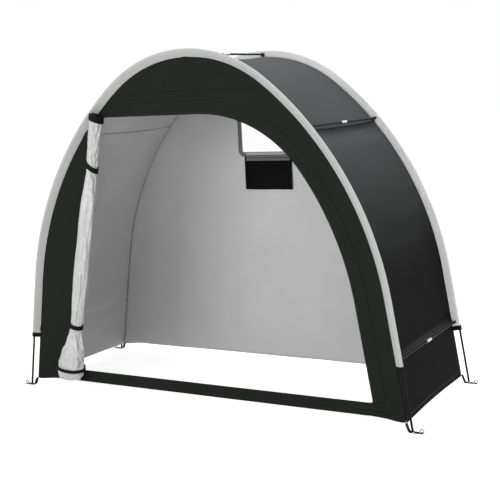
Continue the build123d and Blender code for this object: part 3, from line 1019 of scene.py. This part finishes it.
def make_window_cover():
    """Cover flap, which hangs inside below the window, and the tapes at its top."""
    given = sizes()
    above, longer, tape_short = 0.008, 0.004, 0.02
    foot = window_sill(given) - given.window_lap
    top, tall = foot + above, given.cover_drop + longer
    bm = bmesh.new()
    upright_grid(bm, (0, inner_face() - COVER_LIFT, top - tall / 2), given.cover_width, tall, 40, 26)
    lay_flat(bm, to_front)
    for vert in bm.verts:
        drop = (top - vert.co.z) / tall
        free = ease(0.12, 0.4, drop)
        vert.co.y += free * (0.0015 * sin(vert.co.x * 40) * drop + 0.001 * ripple(vert.co.x * 12, vert.co.z * 8))
        vert.co.y += rear_ripple(vert.co) - 0.003 * drop * free
    cover = make_piece(
        bm, "window_cover_flap", ("black_cover_cloth",), ("window_flap",), levels=1, thickness=given.cloth
    )
    for name, cloth, lower, upper in FOOT_TAPES:
        bm = bmesh.new()
        middle = (0, inner_face() - TAPE_LIFT, foot + (lower + upper) / 2)
        upright_grid(bm, middle, given.cover_width - tape_short, upper - lower, 24, 2)
        lay_flat(bm, to_front)
        make_piece(bm, name, (cloth,), thickness=0.001)


# Sleeves
SLEEVE_STEPS = (18, 64, 50, 64, 18)


def sleeve_axes(given, line, way, y):
    """Pole point, direction of the sleeve's tail, direction across it and length of the tail."""
    point, out = line.place(way)
    back = copysign(given.sleeve_setback, -y)
    tail = deep(back) - out * given.sleeve_reach
    across = deep(given.sleeve_reach) + out * back
    return point + deep(y), tail.normalized(), across.normalized(), tail.length


def sleeve_half(given, down, reach):
    """Half thickness of a sleeve part of the way down its tail."""
    return given.sleeve_round - (given.sleeve_round - given.sleeve_tail) * down / reach


def sleeve_ring(bm, way, y, grow=0.0):
    """Section of a sleeve: round about the pole, tapering to the corner seam."""
    given, line = shape()
    point, tail, across, reach = sleeve_axes(given, line, way, y)
    made, edges = ring_of(bm, 1.0, 24)
    for vert in made:
        down, aside = vert.co.x, vert.co.y
        if down > 0:
            down *= reach - 0.0005
            aside = 0.0 if abs(aside) < 1e-4 else copysign(sleeve_half(given, down, reach), aside)
        else:
            down, aside = down * given.sleeve_round, aside * given.sleeve_round
        swell = 1 + grow / max(1e-6, sqrt(down**2 + aside**2))
        vert.co = point + tail * (down * swell) + across * (aside * swell)
    return made + edges


def make_sleeve(arch, cloth, y):
    """Sleeve of thin cloth drawn over the pole from leg to leg."""
    given, line = shape()
    end = given.sleeve_end
    bm = bmesh.new()
    carry(bm, sleeve_ring(bm, end, y), line.path(end), SLEEVE_STEPS)
    area = flat_area(bm)
    face_towards(bm, lambda spot: spot - sleeve_axes(given, line, line.along(spot)[0], y)[0])
    lay_out(bm, lambda vert: (line.along(vert.co)[0], line.along(vert.co)[1] + vert.co.y))
    for vert in bm.verts:
        way = line.along(vert.co)[0]
        point, tail, across, reach = sleeve_axes(given, line, way, y)
        down, aside = (vert.co - point).dot(tail), (vert.co - point).dot(across)
        slack = ease(0.004, 0.013, down) * ease(reach, reach - 0.007, down)
        fold = 0.0014 * ripple(way * 22, down * 60, y) + 0.0008 * ripple(way * 70, down * 25, y + 4)
        vert.co += across * copysign(slack, aside) * fold
        vert.co -= tail * (0.0006 * ripple(way * 30, aside * 40, y + 8) * ease(0.004, -0.006, down))
    node = f"{arch}_arch_sleeve"
    piece = make_piece(bm, f"{node}_cloth", (cloth,), (node,), levels=1, thickness=0.0008)


def make_sleeves():
    """Both pole sleeves."""
    make_sleeve("front", "grey_sleeve_cloth", sizes().front_plane)
    # Painted light: the rear sleeve takes a lighter copy of the sleeve cloth
    make_sleeve("rear", "pale_sleeve_cloth", sizes().rear_plane)


def make_sleeve_bands():
    """Webbing band at each sleeve's end."""
    given, line = shape()
    below, stand = 0.001, 0.0006
    bm = bmesh.new()
    for y in arch_planes():
        spin(bm, sleeve_ring(bm, given.sleeve_end - below, y, stand), 5, move=-line.up * given.band_width)
    add_left_side(bm)
    even_normals(bm)
    lay_out(bm, lambda vert: (vert.co.y + vert.co.x, vert.co.z))
    make_webbing(bm, "sleeve_end_bands", "sleeve_end_straps", 0.0012)


# Door roll: shares of its length, of its half width and of its half depth, then its ties
ROLL_STATIONS = (0.0, 0.02, 0.177, 0.35, 0.60, 0.785, 0.91, 0.955, 1.0)
ROLL_WIDTHS = (0.86, 0.82, 0.72, 0.95, 1.0, 0.75, 1.8, 1.95, 1.85)
ROLL_DEPTHS = (0.95, 0.9, 0.8, 1.0, 1.0, 0.85, 1.15, 1.2, 1.15)
TIE_STATIONS = (0.02, 0.177, 0.785, 0.955)
TIE_WIDTHS = (0.025, 0.024, 0.021, 0.016)
TIE_SLANTS = (0.2, 0.5, 0.0, -0.15)
TIE_SMILES = (0.0, 0.0, 0.0, 0.012)
TIE_LIFTS = (0.023, 0.0, 0.0, 0.01)
TIE_STAND = 0.0018

# Turns of the rolled cloth, the innermost one's share of the width, where the free edge lies, and mesh steps
ROLL_TURNS, ROLL_CORE, ROLL_EDGE = 11, 0.3, 0.62 * pi
ROLL_STEPS, CORE_STEPS, ROLL_ROWS = 96, 12, 200
ROLL_GAP, ROLL_TUCK = 0.0021, 0.0012

# Reach of a tie's hold on the cloth, then depth and reach of the pleats beside it
TIE_HOLD, PLEAT_DEPTH, PLEAT_REACH = 0.016, 0.0055, 0.035

# Single folds: share and turn in degrees at one end, share and turn at the other, width and depth
FOLDS = (
    (0.03, 60, 0.16, 72, 0.009, 0.005),
    (0.032, 12, 0.06, 42, 0.006, 0.007),
    (0.07, 100, 0.12, 88, 0.007, 0.005),
    (0.105, 12, 0.138, 32, 0.006, 0.007),
    (0.132, 80, 0.166, 36, 0.006, 0.008),
    (0.15, 2, 0.172, 20, 0.006, 0.007),
    (0.188, 66, 0.215, 28, 0.006, 0.007),
    (0.20, 8, 0.262, 16, 0.007, 0.007),
    (0.30, 40, 0.42, 58, 0.009, 0.004),
    (0.52, 20, 0.66, 34, 0.009, 0.004),
    (0.69, 56, 0.782, 53, 0.006, 0.01),
    (0.735, 26, 0.782, 21, 0.005, 0.008),
    (0.75, 92, 0.782, 88, 0.006, 0.006),
    (0.796, 56, 0.855, 27, 0.007, 0.012),
    (0.796, 12, 0.85, 4, 0.006, 0.009),
    (0.796, 88, 0.842, 98, 0.008, 0.008),
    (0.798, 34, 0.826, 18, 0.005, 0.006),
    (0.83, 74, 0.872, 86, 0.009, 0.006),
    (0.868, 4, 0.90, -16, 0.007, 0.008),
    (0.882, 62, 0.906, 24, 0.008, 0.008),
    (0.905, -6, 0.926, 24, 0.007, 0.01),
    (0.926, 24, 0.95, 68, 0.007, 0.01),
    (0.928, -12, 0.946, 10, 0.006, 0.008),
    (0.968, 70, 0.992, 60, 0.006, 0.006),
    (0.966, 30, 0.99, 40, 0.006, 0.007),
    (0.966, 105, 0.988, 96, 0.007, 0.005),
    (0.968, 2, 0.995, -4, 0.006, 0.006),
)


def roll_share(table, share):
    """Smooth value of a table of roll sizes at a share of the roll's length."""
    for index in range(len(ROLL_STATIONS) - 1):
        low, high = ROLL_STATIONS[index], ROLL_STATIONS[index + 1]
        if share <= high:
            return table[index] + (table[index + 1] - table[index]) * ease(low, high, share)
    return table[-1]


class RollAxis:
    """Slanted axis of the door roll and its size along it."""

    def __init__(self, given):
        door = Doorway(given, FrameLine(given))
        self.given, self.top = given, door.left_top
        self.down = (door.left_foot - door.left_top).normalized()
        self.foot = door.left_foot - self.down * (given.roll_drop / self.down.z)
        self.tall = (self.foot - self.top).length
        self.across = Vector((-self.down.z, 0, self.down.x))
        self.back = wall_planes()[0] - ROLL_GAP
        self.slants = [slant * self.size(tie)[0] for slant, tie in zip(TIE_SLANTS, TIE_STATIONS)]

    def size(self, share):
        """Half width and half depth."""
        wide = self.given.roll_width * roll_share(ROLL_WIDTHS, share)
        return wide, self.given.roll_depth * roll_share(ROLL_DEPTHS, share)

    def outward(self, turn):
        """Direction out of the roll; turn 0 is to the right and a quarter turn is to the front."""
        return self.across * cos(turn) - deep(sin(turn))

    def place(self, share, turn, spread=1.0):
        """Point on the roll's plain section."""
        wide, depth = self.size(share)
        middle = self.top + (self.foot - self.top) * share + deep(self.back - depth)
        return middle + self.across * (wide * spread * cos(turn)) - deep(depth * spread * sin(turn))

    def middle(self, point):
        """Place on the axis beside a point."""
        return self.place(min(1.0, max(0.0, (point - self.top).dot(self.down) / self.tall)), 0, 0)

    def tie_share(self, number, turn):
        """Share of the length where the middle of a tie lies at a turn."""
        drop = self.slants[number] * cos(turn) + TIE_SMILES[number] * sin(turn) - TIE_LIFTS[number]
        return TIE_STATIONS[number] + drop / self.tall


def pleat(turn):
    """Row of narrow ridges, from -1 to 1."""
    return 1 - 2 * abs(sin(turn / 2)) ** 0.8


def single_folds(axis, share, turn):
    """Depth of the single folds at a place on the roll."""
    round_by = sum(axis.size(share)) / 2
    depth = 0.0
    for low, start, high, stop, wide, deepest in FOLDS:
        if low - 0.02 < share < high + 0.02:
            along = min(1.0, max(0.0, (share - low) / (high - low)))
            aside = (turn - radians(start + (stop - start) * along) + pi) % (2 * pi) - pi
            past = max(low - share, share - high, 0.0) * axis.tall
            depth += deepest * exp(-(((aside * round_by) ** 2 + past**2) / wide**2))
    return depth


def roll_fold(axis, share, turn):
    """How far the gathered cloth stands out of the roll's plain section; the ties hold it down."""
    stand = -single_folds(axis, share, turn)
    loose = 1.0
    for number in range(len(TIE_STATIONS)):
        gap = (share - axis.tie_share(number, turn)) * axis.tall
        loose *= 1 - exp(-((gap / TIE_HOLD) ** 4))
        stand += PLEAT_DEPTH * exp(-abs(gap) / PLEAT_REACH) * pleat(8 * turn + 2.3 * number + 18 * gap)
    wave_x, wave_y = 2.4 * cos(turn), 2.4 * sin(turn)
    stand += 0.005 * ripple(0.6 * wave_x, 0.6 * wave_y, share * 6)
    stand += 0.009 * (0.2 - abs(ripple(wave_x + 3 * share, wave_y, share * 8)))
    flare = ease(0.79, 0.85, share)
    stand += flare * 0.003 * pleat(5 * turn + 30 * share)
    stand += flare * 0.012 * (0.2 - abs(ripple(wave_x, wave_y + 14 * share, share * 30)))
    return stand * loose


def make_door_roll():
    """Door cloth, silver side out, rolled up to the left and tied."""
    given = sizes()
    axis = RollAxis(given)
    bm = bmesh.new()
    rolled = bm.verts.layers.float.new("rolled")
    first, outer, core = bm.verts.new((1, 0, 0)), 1 / ROLL_TURNS, ROLL_TURNS - 1
    last = spin(bm, [first], ROLL_STEPS, turn=2 * pi, move=(0, 0, outer), axis=(0, 0, 1))
    spin(bm, last, CORE_STEPS * core, turn=2 * pi * core, move=(0, 0, 1 - outer), axis=(0, 0, 1))
    for vert in bm.verts:
        vert[rolled], vert.co.z = vert.co.z, 0.0
    spin(bm, everything(bm), ROLL_ROWS, move=(0, 0, 1))
    wide = ROLL_TURNS * pi * (given.roll_width + given.roll_depth) * (1 + ROLL_CORE) / 2
    lay_out(bm, lambda vert: (vert[rolled] * wide, vert.co.z * axis.tall))
    for vert in bm.verts:
        share = vert.co.z
        turn = -2 * pi * ROLL_TURNS * vert[rolled] - ROLL_EDGE
        spread = 1 - (1 - ROLL_CORE) * vert[rolled]
        closing = (1 - 0.3 * ease(0.012, 0.0, share)) * (1 - 0.07 * ease(0.98, 1.0, share))
        stand = roll_fold(axis, share, turn) * spread**2 - ROLL_TUCK
        vert.co = axis.place(share, turn, spread * closing) + axis.outward(turn) * stand
        vert.co.y = min(vert.co.y, axis.back)
        vert.co.z += ease(0.955, 1.0, share) * (0.01 + 0.011 * cos(turn))
        vert.co.z -= 0.006 * ease(0.97, 1.0, share) * ripple(3 * cos(turn), 3 * sin(turn), 2.0)
    bm.verts.layers.float.remove(rolled)
    face_towards(bm, lambda point: point - axis.middle(point))
    piece = make_piece(
        bm, "door_roll_cloth", ("silver_crinkled_cloth",), ("door_roll",), thickness=0.0006
    )


def make_door_ties():
    """Webbing ties round the door roll, drawn tight; the top one is folded over the roll's end."""
    axis = RollAxis(sizes())
    bm = bmesh.new()
    for number, tall in enumerate(TIE_WIDTHS):
        before = set(bm.verts)
        made, edges = ring_of(bm, 1.0, 48)
        spin(bm, made + edges, 5, move=(0, 0, tall))
        if number == 0:
            spin(bm, made + edges, 3, move=(0, 0, -0.003))
        for vert in set(bm.verts) - before:
            turn = atan2(vert.co.y, vert.co.x)
            share = axis.tie_share(number, turn) + (max(0.0, vert.co.z) - tall / 2) / axis.tall
            crush = 1 + 0.02 * abs(ripple(2 * cos(turn), 2 * sin(turn), number + vert.co.z * 40))
            crush *= ease(-0.0032, 0.0, vert.co.z) if vert.co.z < -0.0001 else 1.0
            vert.co = axis.place(share, turn, crush) + axis.outward(turn) * (TIE_STAND * min(1.0, crush))
            vert.co.y = min(vert.co.y, axis.back + 0.0012)
    even_normals(bm)
    lay_out(bm, lambda vert: (vert.co.x + vert.co.y, vert.co.z))
    make_webbing(bm, "door_tie_webbing", "door_ties", 0.0016)


# Corner straps
STRAP_THICK, STRAP_LAP = 0.0018, 0.004
STRAP_BEND, STRAP_ROUND, STRAP_FLAT = 0.017, 0.009, 0.057
PEG_OUT, PIN_HOLE, PEG_HOLE, EYELET_ROUND = 0.027, 0.0036, 0.0031, 0.0011


def strap_lines():
    """Y of each arch and of the middle of its corner straps."""
    return [(y, y + copysign(sizes().sleeve_setback / 2, -y)) for y in arch_planes()]


def make_corner_straps():
    """Webbing straps from the cloth's corners to the pole pins and pegs."""
    given, line = shape()
    start = line.corner(given)[1] + high(STRAP_LAP)
    bend = Vector((line.foot.x - STRAP_BEND, 0, STRAP_THICK / 2))
    slope = (bend - start).normalized()
    turn = slope.angle(Vector((1, 0, 0)))
    cut = STRAP_ROUND * tan(turn / 2)
    path = (
        straight(slope * ((bend - start).length - cut)),
        arc(bend - slope * cut + Vector((-slope.z, 0, slope.x)) * STRAP_ROUND, turn, STRAP_ROUND),
        straight(Vector((STRAP_FLAT - cut, 0, 0))),
    )
    bm = bmesh.new()
    for _, y in strap_lines():
        ends = [bm.verts.new(start + deep(y + side * given.strap_width / 2)) for side in (-1, 1)]
        made = bmesh.ops.subdivide_edges(bm, edges=[bm.edges.new(ends)], cuts=7)["geom"]
        carry(bm, [item for item in {*made, *ends} if item.is_valid], path, (5, 5, 10))
    add_left_side(bm)
    face_towards(bm, lambda point: high(1))
    lay_out(bm, lambda vert: (vert.co.x, vert.co.y))
    make_webbing(bm, "corner_strap_webbing", "corner_straps", STRAP_THICK)


def make_eyelets():
    """Steel rings round the pins and pegs in the straps."""
    foot = FrameLine(sizes()).foot.x
    spots = [spot for y, strap in strap_lines() for spot in ((foot, y, PIN_HOLE), (foot + PEG_OUT, strap, PEG_HOLE))]
    bm = bmesh.new()
    for side in (-1, 1):
        for x, y, hole in spots:
            middle = Vector((side * x, y, STRAP_THICK + 0.0002))
            ring, edges = ring_of(bm, EYELET_ROUND, 8)
            bmesh.ops.rotate(bm, verts=ring, cent=(0, 0, 0), matrix=Matrix.Rotation(pi / 2, 3, "X"))
            bmesh.ops.translate(bm, verts=ring, vec=middle + Vector((hole + EYELET_ROUND, 0, 0)))
            bmesh.ops.spin(bm, geom=ring + edges, cent=middle, axis=(0, 0, 1), angle=2 * pi, steps=20, use_merge=True)
    even_normals(bm)
    make_piece(bm, "strap_eyelets", ("plated_steel",))


# Sewing
STITCH = 0.007
STITCH_HALF = (0.0021, 0.0005, 0.0004, 1)


def stitch(bm, place, way, up):
    """One stitch lying on a cloth: a short thread along a direction."""
    side = up.cross(way).normalized()
    turn = Matrix((way, side, way.cross(side))).transposed().to_4x4()
    shaped = Matrix.Translation(place) @ turn @ Matrix.Diagonal(STITCH_HALF)
    made = bmesh.ops.create_icosphere(bm, subdivisions=1, radius=1.0, matrix=shaped)["verts"]
    edges = {edge for vert in made for edge in vert.link_edges}
    faces = {face for vert in made for face in vert.link_faces}
    return made + list(edges) + list(faces)


def sew(bm, geom, path):
    """Repeat a stitch along a path."""
    for long, way in path:
        geom = spin(bm, geom, max(1, round(long / STITCH)), copies=True, **way)


def sew_line(bm, first, last, up):
    """Straight row of stitches."""
    run = last - first
    sew(bm, stitch(bm, first, run.normalized(), up), (straight(run),))


def sew_sleeves():
    """Row of stitches on both faces of each sleeve's tail."""
    given, line = shape()
    margin, lift = 0.006, 0.0003
    bm = bmesh.new()
    for y in arch_planes():
        point, tail, across, reach = sleeve_axes(given, line, given.sleeve_end, y)
        half = sleeve_half(given, reach - margin, reach) + lift
        for face in (-1, 1):
            place = point + tail * (reach - margin) + across * (face * half)
            sew(bm, stitch(bm, place, line.up, across * face), line.path(given.sleeve_end))
    make_piece(bm, "sleeve_stitching", ("pale_thread",))


def sew_walls():
    """Rows of stitches along the storm flap and the walls' hems."""
    given, line = shape()
    flap_lift, hem_lift, hem_half, hem_rise = 0.0019, 0.0012, 0.85, 0.018
    door = Doorway(given, line)
    out = deep(wall_planes()[0] - flap_lift)
    start = door.start + 0.004
    bm = bmesh.new()
    for margin in (0.006, given.flap_width - 0.005):
        place = line.place(start, door.inset - margin)[0] + out
        sew(bm, stitch(bm, place, line.up, deep(-1)), door.path(start, door.level - margin))
    for side, y in zip((-1, 1), wall_planes()):
        edge = Vector((hem_half, y + side * hem_lift, given.front_hem + hem_rise))
        sew_line(bm, flipped(edge), edge, deep(side))
    hang(bm, wall_ripple)
    make_piece(bm, "wall_stitching", ("dark_thread",))


def sew_window():
    """Two rows of stitches along the sides and top of the window's tape."""
    given = sizes()
    lap, ahead = given.window_lap, deep(-1)
    foot = window_sill(given) - lap
    half, top = given.window_width / 2 + lap, foot + given.window_height + 2 * lap
    from_edge, foot_gap, top_gap, short = 0.004, 0.03, 0.02, Vector((0.02, 0, 0))
    bm = bmesh.new()
    for margin in (from_edge, given.window_tape - from_edge):
        wide = half - margin
        left, right = (Vector((x, inner_face() - THREAD_LIFT, 0)) for x in (-wide, wide))
        for edge in (left, right):
            sew_line(bm, edge + high(foot + margin + foot_gap), edge + high(top - margin - top_gap), ahead)
        sew_line(bm, left + short + high(top - margin), right - short + high(top - margin), ahead)
    make_piece(bm, "window_stitching", ("dark_thread",))


# Frame nodes that keep their own shape, by finish
HARDWARE = {
    "black_fibreglass": (
        "front_arch_pole", "rear_arch_pole", "top_spreader_pole", "upper_right_spreader_pole",
        "upper_left_spreader_pole", "lower_right_spreader_pole", "lower_left_spreader_pole",
    ),
    "dull_steel": ("pole_pins", "peg_hooks"),
    "plated_steel": ("spreader_ferrules",),
    "moulded_black_plastic": ("front_spreader_clips", "rear_spreader_clips"),
}


def finish_hardware():
    """Give the poles, ferrules, clips, pins and pegs their finishes."""
    for material, nodes in HARDWARE.items():
        for node in nodes:
            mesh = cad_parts[node].data
            mesh.materials.clear()
            mesh.materials.append(finish(material))


# Stage: name, place, aim and size of each lamp
LAMPS = (
    ("top", (0.3, 1.2, 4.2), (0.1, 0.0, 0.6), 4.0),
    ("left", (-1.5, -5.0, 2.0), (0.1, 0.0, 0.8), 3.0),
    ("right", (1.9, -5.6, 1.8), (0.6, 0.0, 0.8), 3.0),
    ("side", (4.8, 1.2, 2.4), (0.8, 0.1, 0.8), 3.0),
)
FLOOR_SIZE, FLOOR_GLOW = 40.0, 0.83


def seen(tree):
    """1 for rays from the camera, from gloss and through clear sheets."""
    path = put(tree, "ShaderNodeLightPath").outputs
    two = calc(tree, "MAXIMUM", path["Is Camera Ray"], path["Is Glossy Ray"])
    return calc(tree, "MAXIMUM", two, path["Is Transmission Ray"])


def show(tree, kind, other, shown):
    """Close a tree with one shader for rays that are seen and another for the rest."""
    both = put(tree, "ShaderNodeMixShader", {0: seen(tree), 1: other, 2: shown}).outputs[0]
    put(tree, kind, {"Surface": both})


def make_floor():
    """Pale floor that keeps the shelter's shadow."""
    bm = bmesh.new()
    bmesh.ops.create_grid(bm, x_segments=1, y_segments=1, size=FLOOR_SIZE)
    mesh = bpy.data.meshes.new("studio_floor")
    bm.to_mesh(mesh)
    bm.free()
    floor = bpy.data.objects.new("studio_floor", mesh)
    bpy.context.scene.collection.objects.link(floor)
    tree = new_material("studio_floor")
    mesh.materials.append(bpy.data.materials["studio_floor"])
    plain = put(tree, "ShaderNodeBsdfDiffuse", {"Color": (*paints().floor, 1.0)}).outputs[0]
    shade = put(tree, "ShaderNodeBsdfDiffuse", {"Color": MID_GREY}).outputs[0]
    glow = put(tree, "ShaderNodeEmission", {"Color": WHITE, "Strength": FLOOR_GLOW}).outputs[0]
    show(tree, "ShaderNodeOutputMaterial", plain, put(tree, "ShaderNodeAddShader", {0: shade, 1: glow}).outputs[0])


def make_surroundings():
    """Soft light all round, and a white background."""
    scene = bpy.context.scene
    scene.view_settings.view_transform = "Standard"
    scene.world = bpy.data.worlds.new("studio_world")
    scene.world.use_nodes = True
    tree = scene.world.node_tree
    tree.nodes.clear()
    soft, white = (
        put(tree, "ShaderNodeBackground", {"Color": WHITE, "Strength": strength}).outputs[0]
        for strength in (scene.shelter_stage.world_light, 1.0)
    )
    show(tree, "ShaderNodeOutputWorld", soft, white)


def make_lamps():
    """Soft lamps, each aimed at a point of the shelter."""
    scene = bpy.context.scene
    for name, place, aim, size in LAMPS:
        data = bpy.data.lights.new(f"{name}_lamp", "AREA")
        data.size, data.energy = size, getattr(scene.shelter_stage, f"{name}_light")
        lamp = bpy.data.objects.new(f"{name}_lamp", data)
        lamp.location = place
        lamp.rotation_euler = (Vector(aim) - Vector(place)).to_track_quat("-Z", "Y").to_euler()
        scene.collection.objects.link(lamp)


def make_camera():
    """Camera that stands where the photo was taken."""
    scene = bpy.context.scene
    stage = scene.shelter_stage
    data = bpy.data.cameras.new("photo_camera")
    data.sensor_width, data.lens = 36.0, stage.camera_lens
    camera = bpy.data.objects.new("photo_camera", data)
    yaw, pitch, roll = stage.camera_yaw, stage.camera_pitch, stage.camera_roll
    ahead = Vector((-sin(yaw) * cos(pitch), cos(yaw) * cos(pitch), -sin(pitch)))
    right = Vector((cos(yaw), sin(yaw), 0))
    up = right.cross(ahead)
    level, upright = right * cos(roll) + up * sin(roll), up * cos(roll) - right * sin(roll)
    turn = Matrix((level, upright, -ahead)).transposed().to_4x4()
    camera.matrix_world = Matrix.Translation(stage.camera_place) @ turn
    scene.collection.objects.link(camera)
    scene.camera = camera


# Operators
class ShelterMaker:
    """What the operators share: each calls its makers in turn."""

    makers = ()

    def execute(self, context):
        for make in self.makers:
            make()
        return {"FINISHED"}


class SHELTER_OT_stage(ShelterMaker, bpy.types.Operator):
    """Make the floor, the light and the camera"""

    bl_idname, bl_label = "shelter.stage", "Stage"
    makers = (make_floor, make_surroundings, make_lamps, make_camera)


class SHELTER_OT_sleeves(ShelterMaker, bpy.types.Operator):
    """Make the pole sleeves and the bands at their ends"""

    bl_idname, bl_label = "shelter.sleeves", "Pole sleeves"
    makers = (make_sleeves, make_sleeve_bands)


class SHELTER_OT_canopy(ShelterMaker, bpy.types.Operator):
    """Make the canopy and its seams"""

    bl_idname, bl_label = "shelter.canopy", "Canopy"
    makers = (make_canopy, make_seam_bands, make_seam_tapes)


class SHELTER_OT_front_wall(ShelterMaker, bpy.types.Operator):
    """Make the front wall and its storm flap"""

    bl_idname, bl_label = "shelter.front_wall", "Front wall"
    makers = (make_front_wall, make_storm_flap, make_header_seam)


class SHELTER_OT_rear_wall(ShelterMaker, bpy.types.Operator):
    """Make the rear wall, its window and the wall hems"""

    bl_idname, bl_label = "shelter.rear_wall", "Rear wall"
    makers = (make_rear_wall, make_wall_hems, make_window, make_window_cover)


class SHELTER_OT_door_roll(ShelterMaker, bpy.types.Operator):
    """Make the rolled-up door and its ties"""

    bl_idname, bl_label = "shelter.door_roll", "Door roll"
    makers = (make_door_ties, make_door_roll)


class SHELTER_OT_corner_straps(ShelterMaker, bpy.types.Operator):
    """Make the corner straps and their eyelets"""

    bl_idname, bl_label = "shelter.corner_straps", "Corner straps"
    makers = (make_corner_straps, make_eyelets)


class SHELTER_OT_stitching(ShelterMaker, bpy.types.Operator):
    """Make the rows of stitches"""

    bl_idname, bl_label = "shelter.stitching", "Stitching"
    makers = (sew_sleeves, sew_walls, sew_window)


class SHELTER_OT_hardware(ShelterMaker, bpy.types.Operator):
    """Finish the poles, clips, ferrules, pins and pegs"""

    bl_idname, bl_label = "shelter.hardware", "Poles and fittings"
    makers = (finish_hardware,)


OPERATORS = (
    SHELTER_OT_stage,
    SHELTER_OT_sleeves,
    SHELTER_OT_canopy,
    SHELTER_OT_front_wall,
    SHELTER_OT_rear_wall,
    SHELTER_OT_door_roll,
    SHELTER_OT_corner_straps,
    SHELTER_OT_stitching,
    SHELTER_OT_hardware,
)


class SHELTER_PT_panel(bpy.types.Panel):
    """Lists the shelter's pieces"""

    bl_idname = "SHELTER_PT_panel"
    bl_label = "Bike shelter"
    bl_space_type = "VIEW_3D"
    bl_region_type = "UI"
    bl_category = "Shelter"

    def draw(self, context):
        for operator in OPERATORS:
            self.layout.operator(operator.bl_idname)


CLASSES = (ShelterSizes, ShelterColours, ShelterStage, *OPERATORS, SHELTER_PT_panel)


def register():
    for item in CLASSES:
        bpy.utils.register_class(item)
    bpy.types.Scene.shelter_sizes = bpy.props.PointerProperty(type=ShelterSizes)
    bpy.types.Scene.shelter_colours = bpy.props.PointerProperty(type=ShelterColours)
    bpy.types.Scene.shelter_stage = bpy.props.PointerProperty(type=ShelterStage)


def unregister():
    del bpy.types.Scene.shelter_stage
    del bpy.types.Scene.shelter_colours
    del bpy.types.Scene.shelter_sizes
    for item in reversed(CLASSES):
        bpy.utils.unregister_class(item)


def main():
    register()
    bpy.ops.shelter.stage()
    bpy.ops.shelter.sleeves()
    bpy.ops.shelter.canopy()
    bpy.ops.shelter.front_wall()
    bpy.ops.shelter.rear_wall()
    bpy.ops.shelter.door_roll()
    bpy.ops.shelter.corner_straps()
    bpy.ops.shelter.stitching()
    bpy.ops.shelter.hardware()


if __name__ == "__main__":
    main()
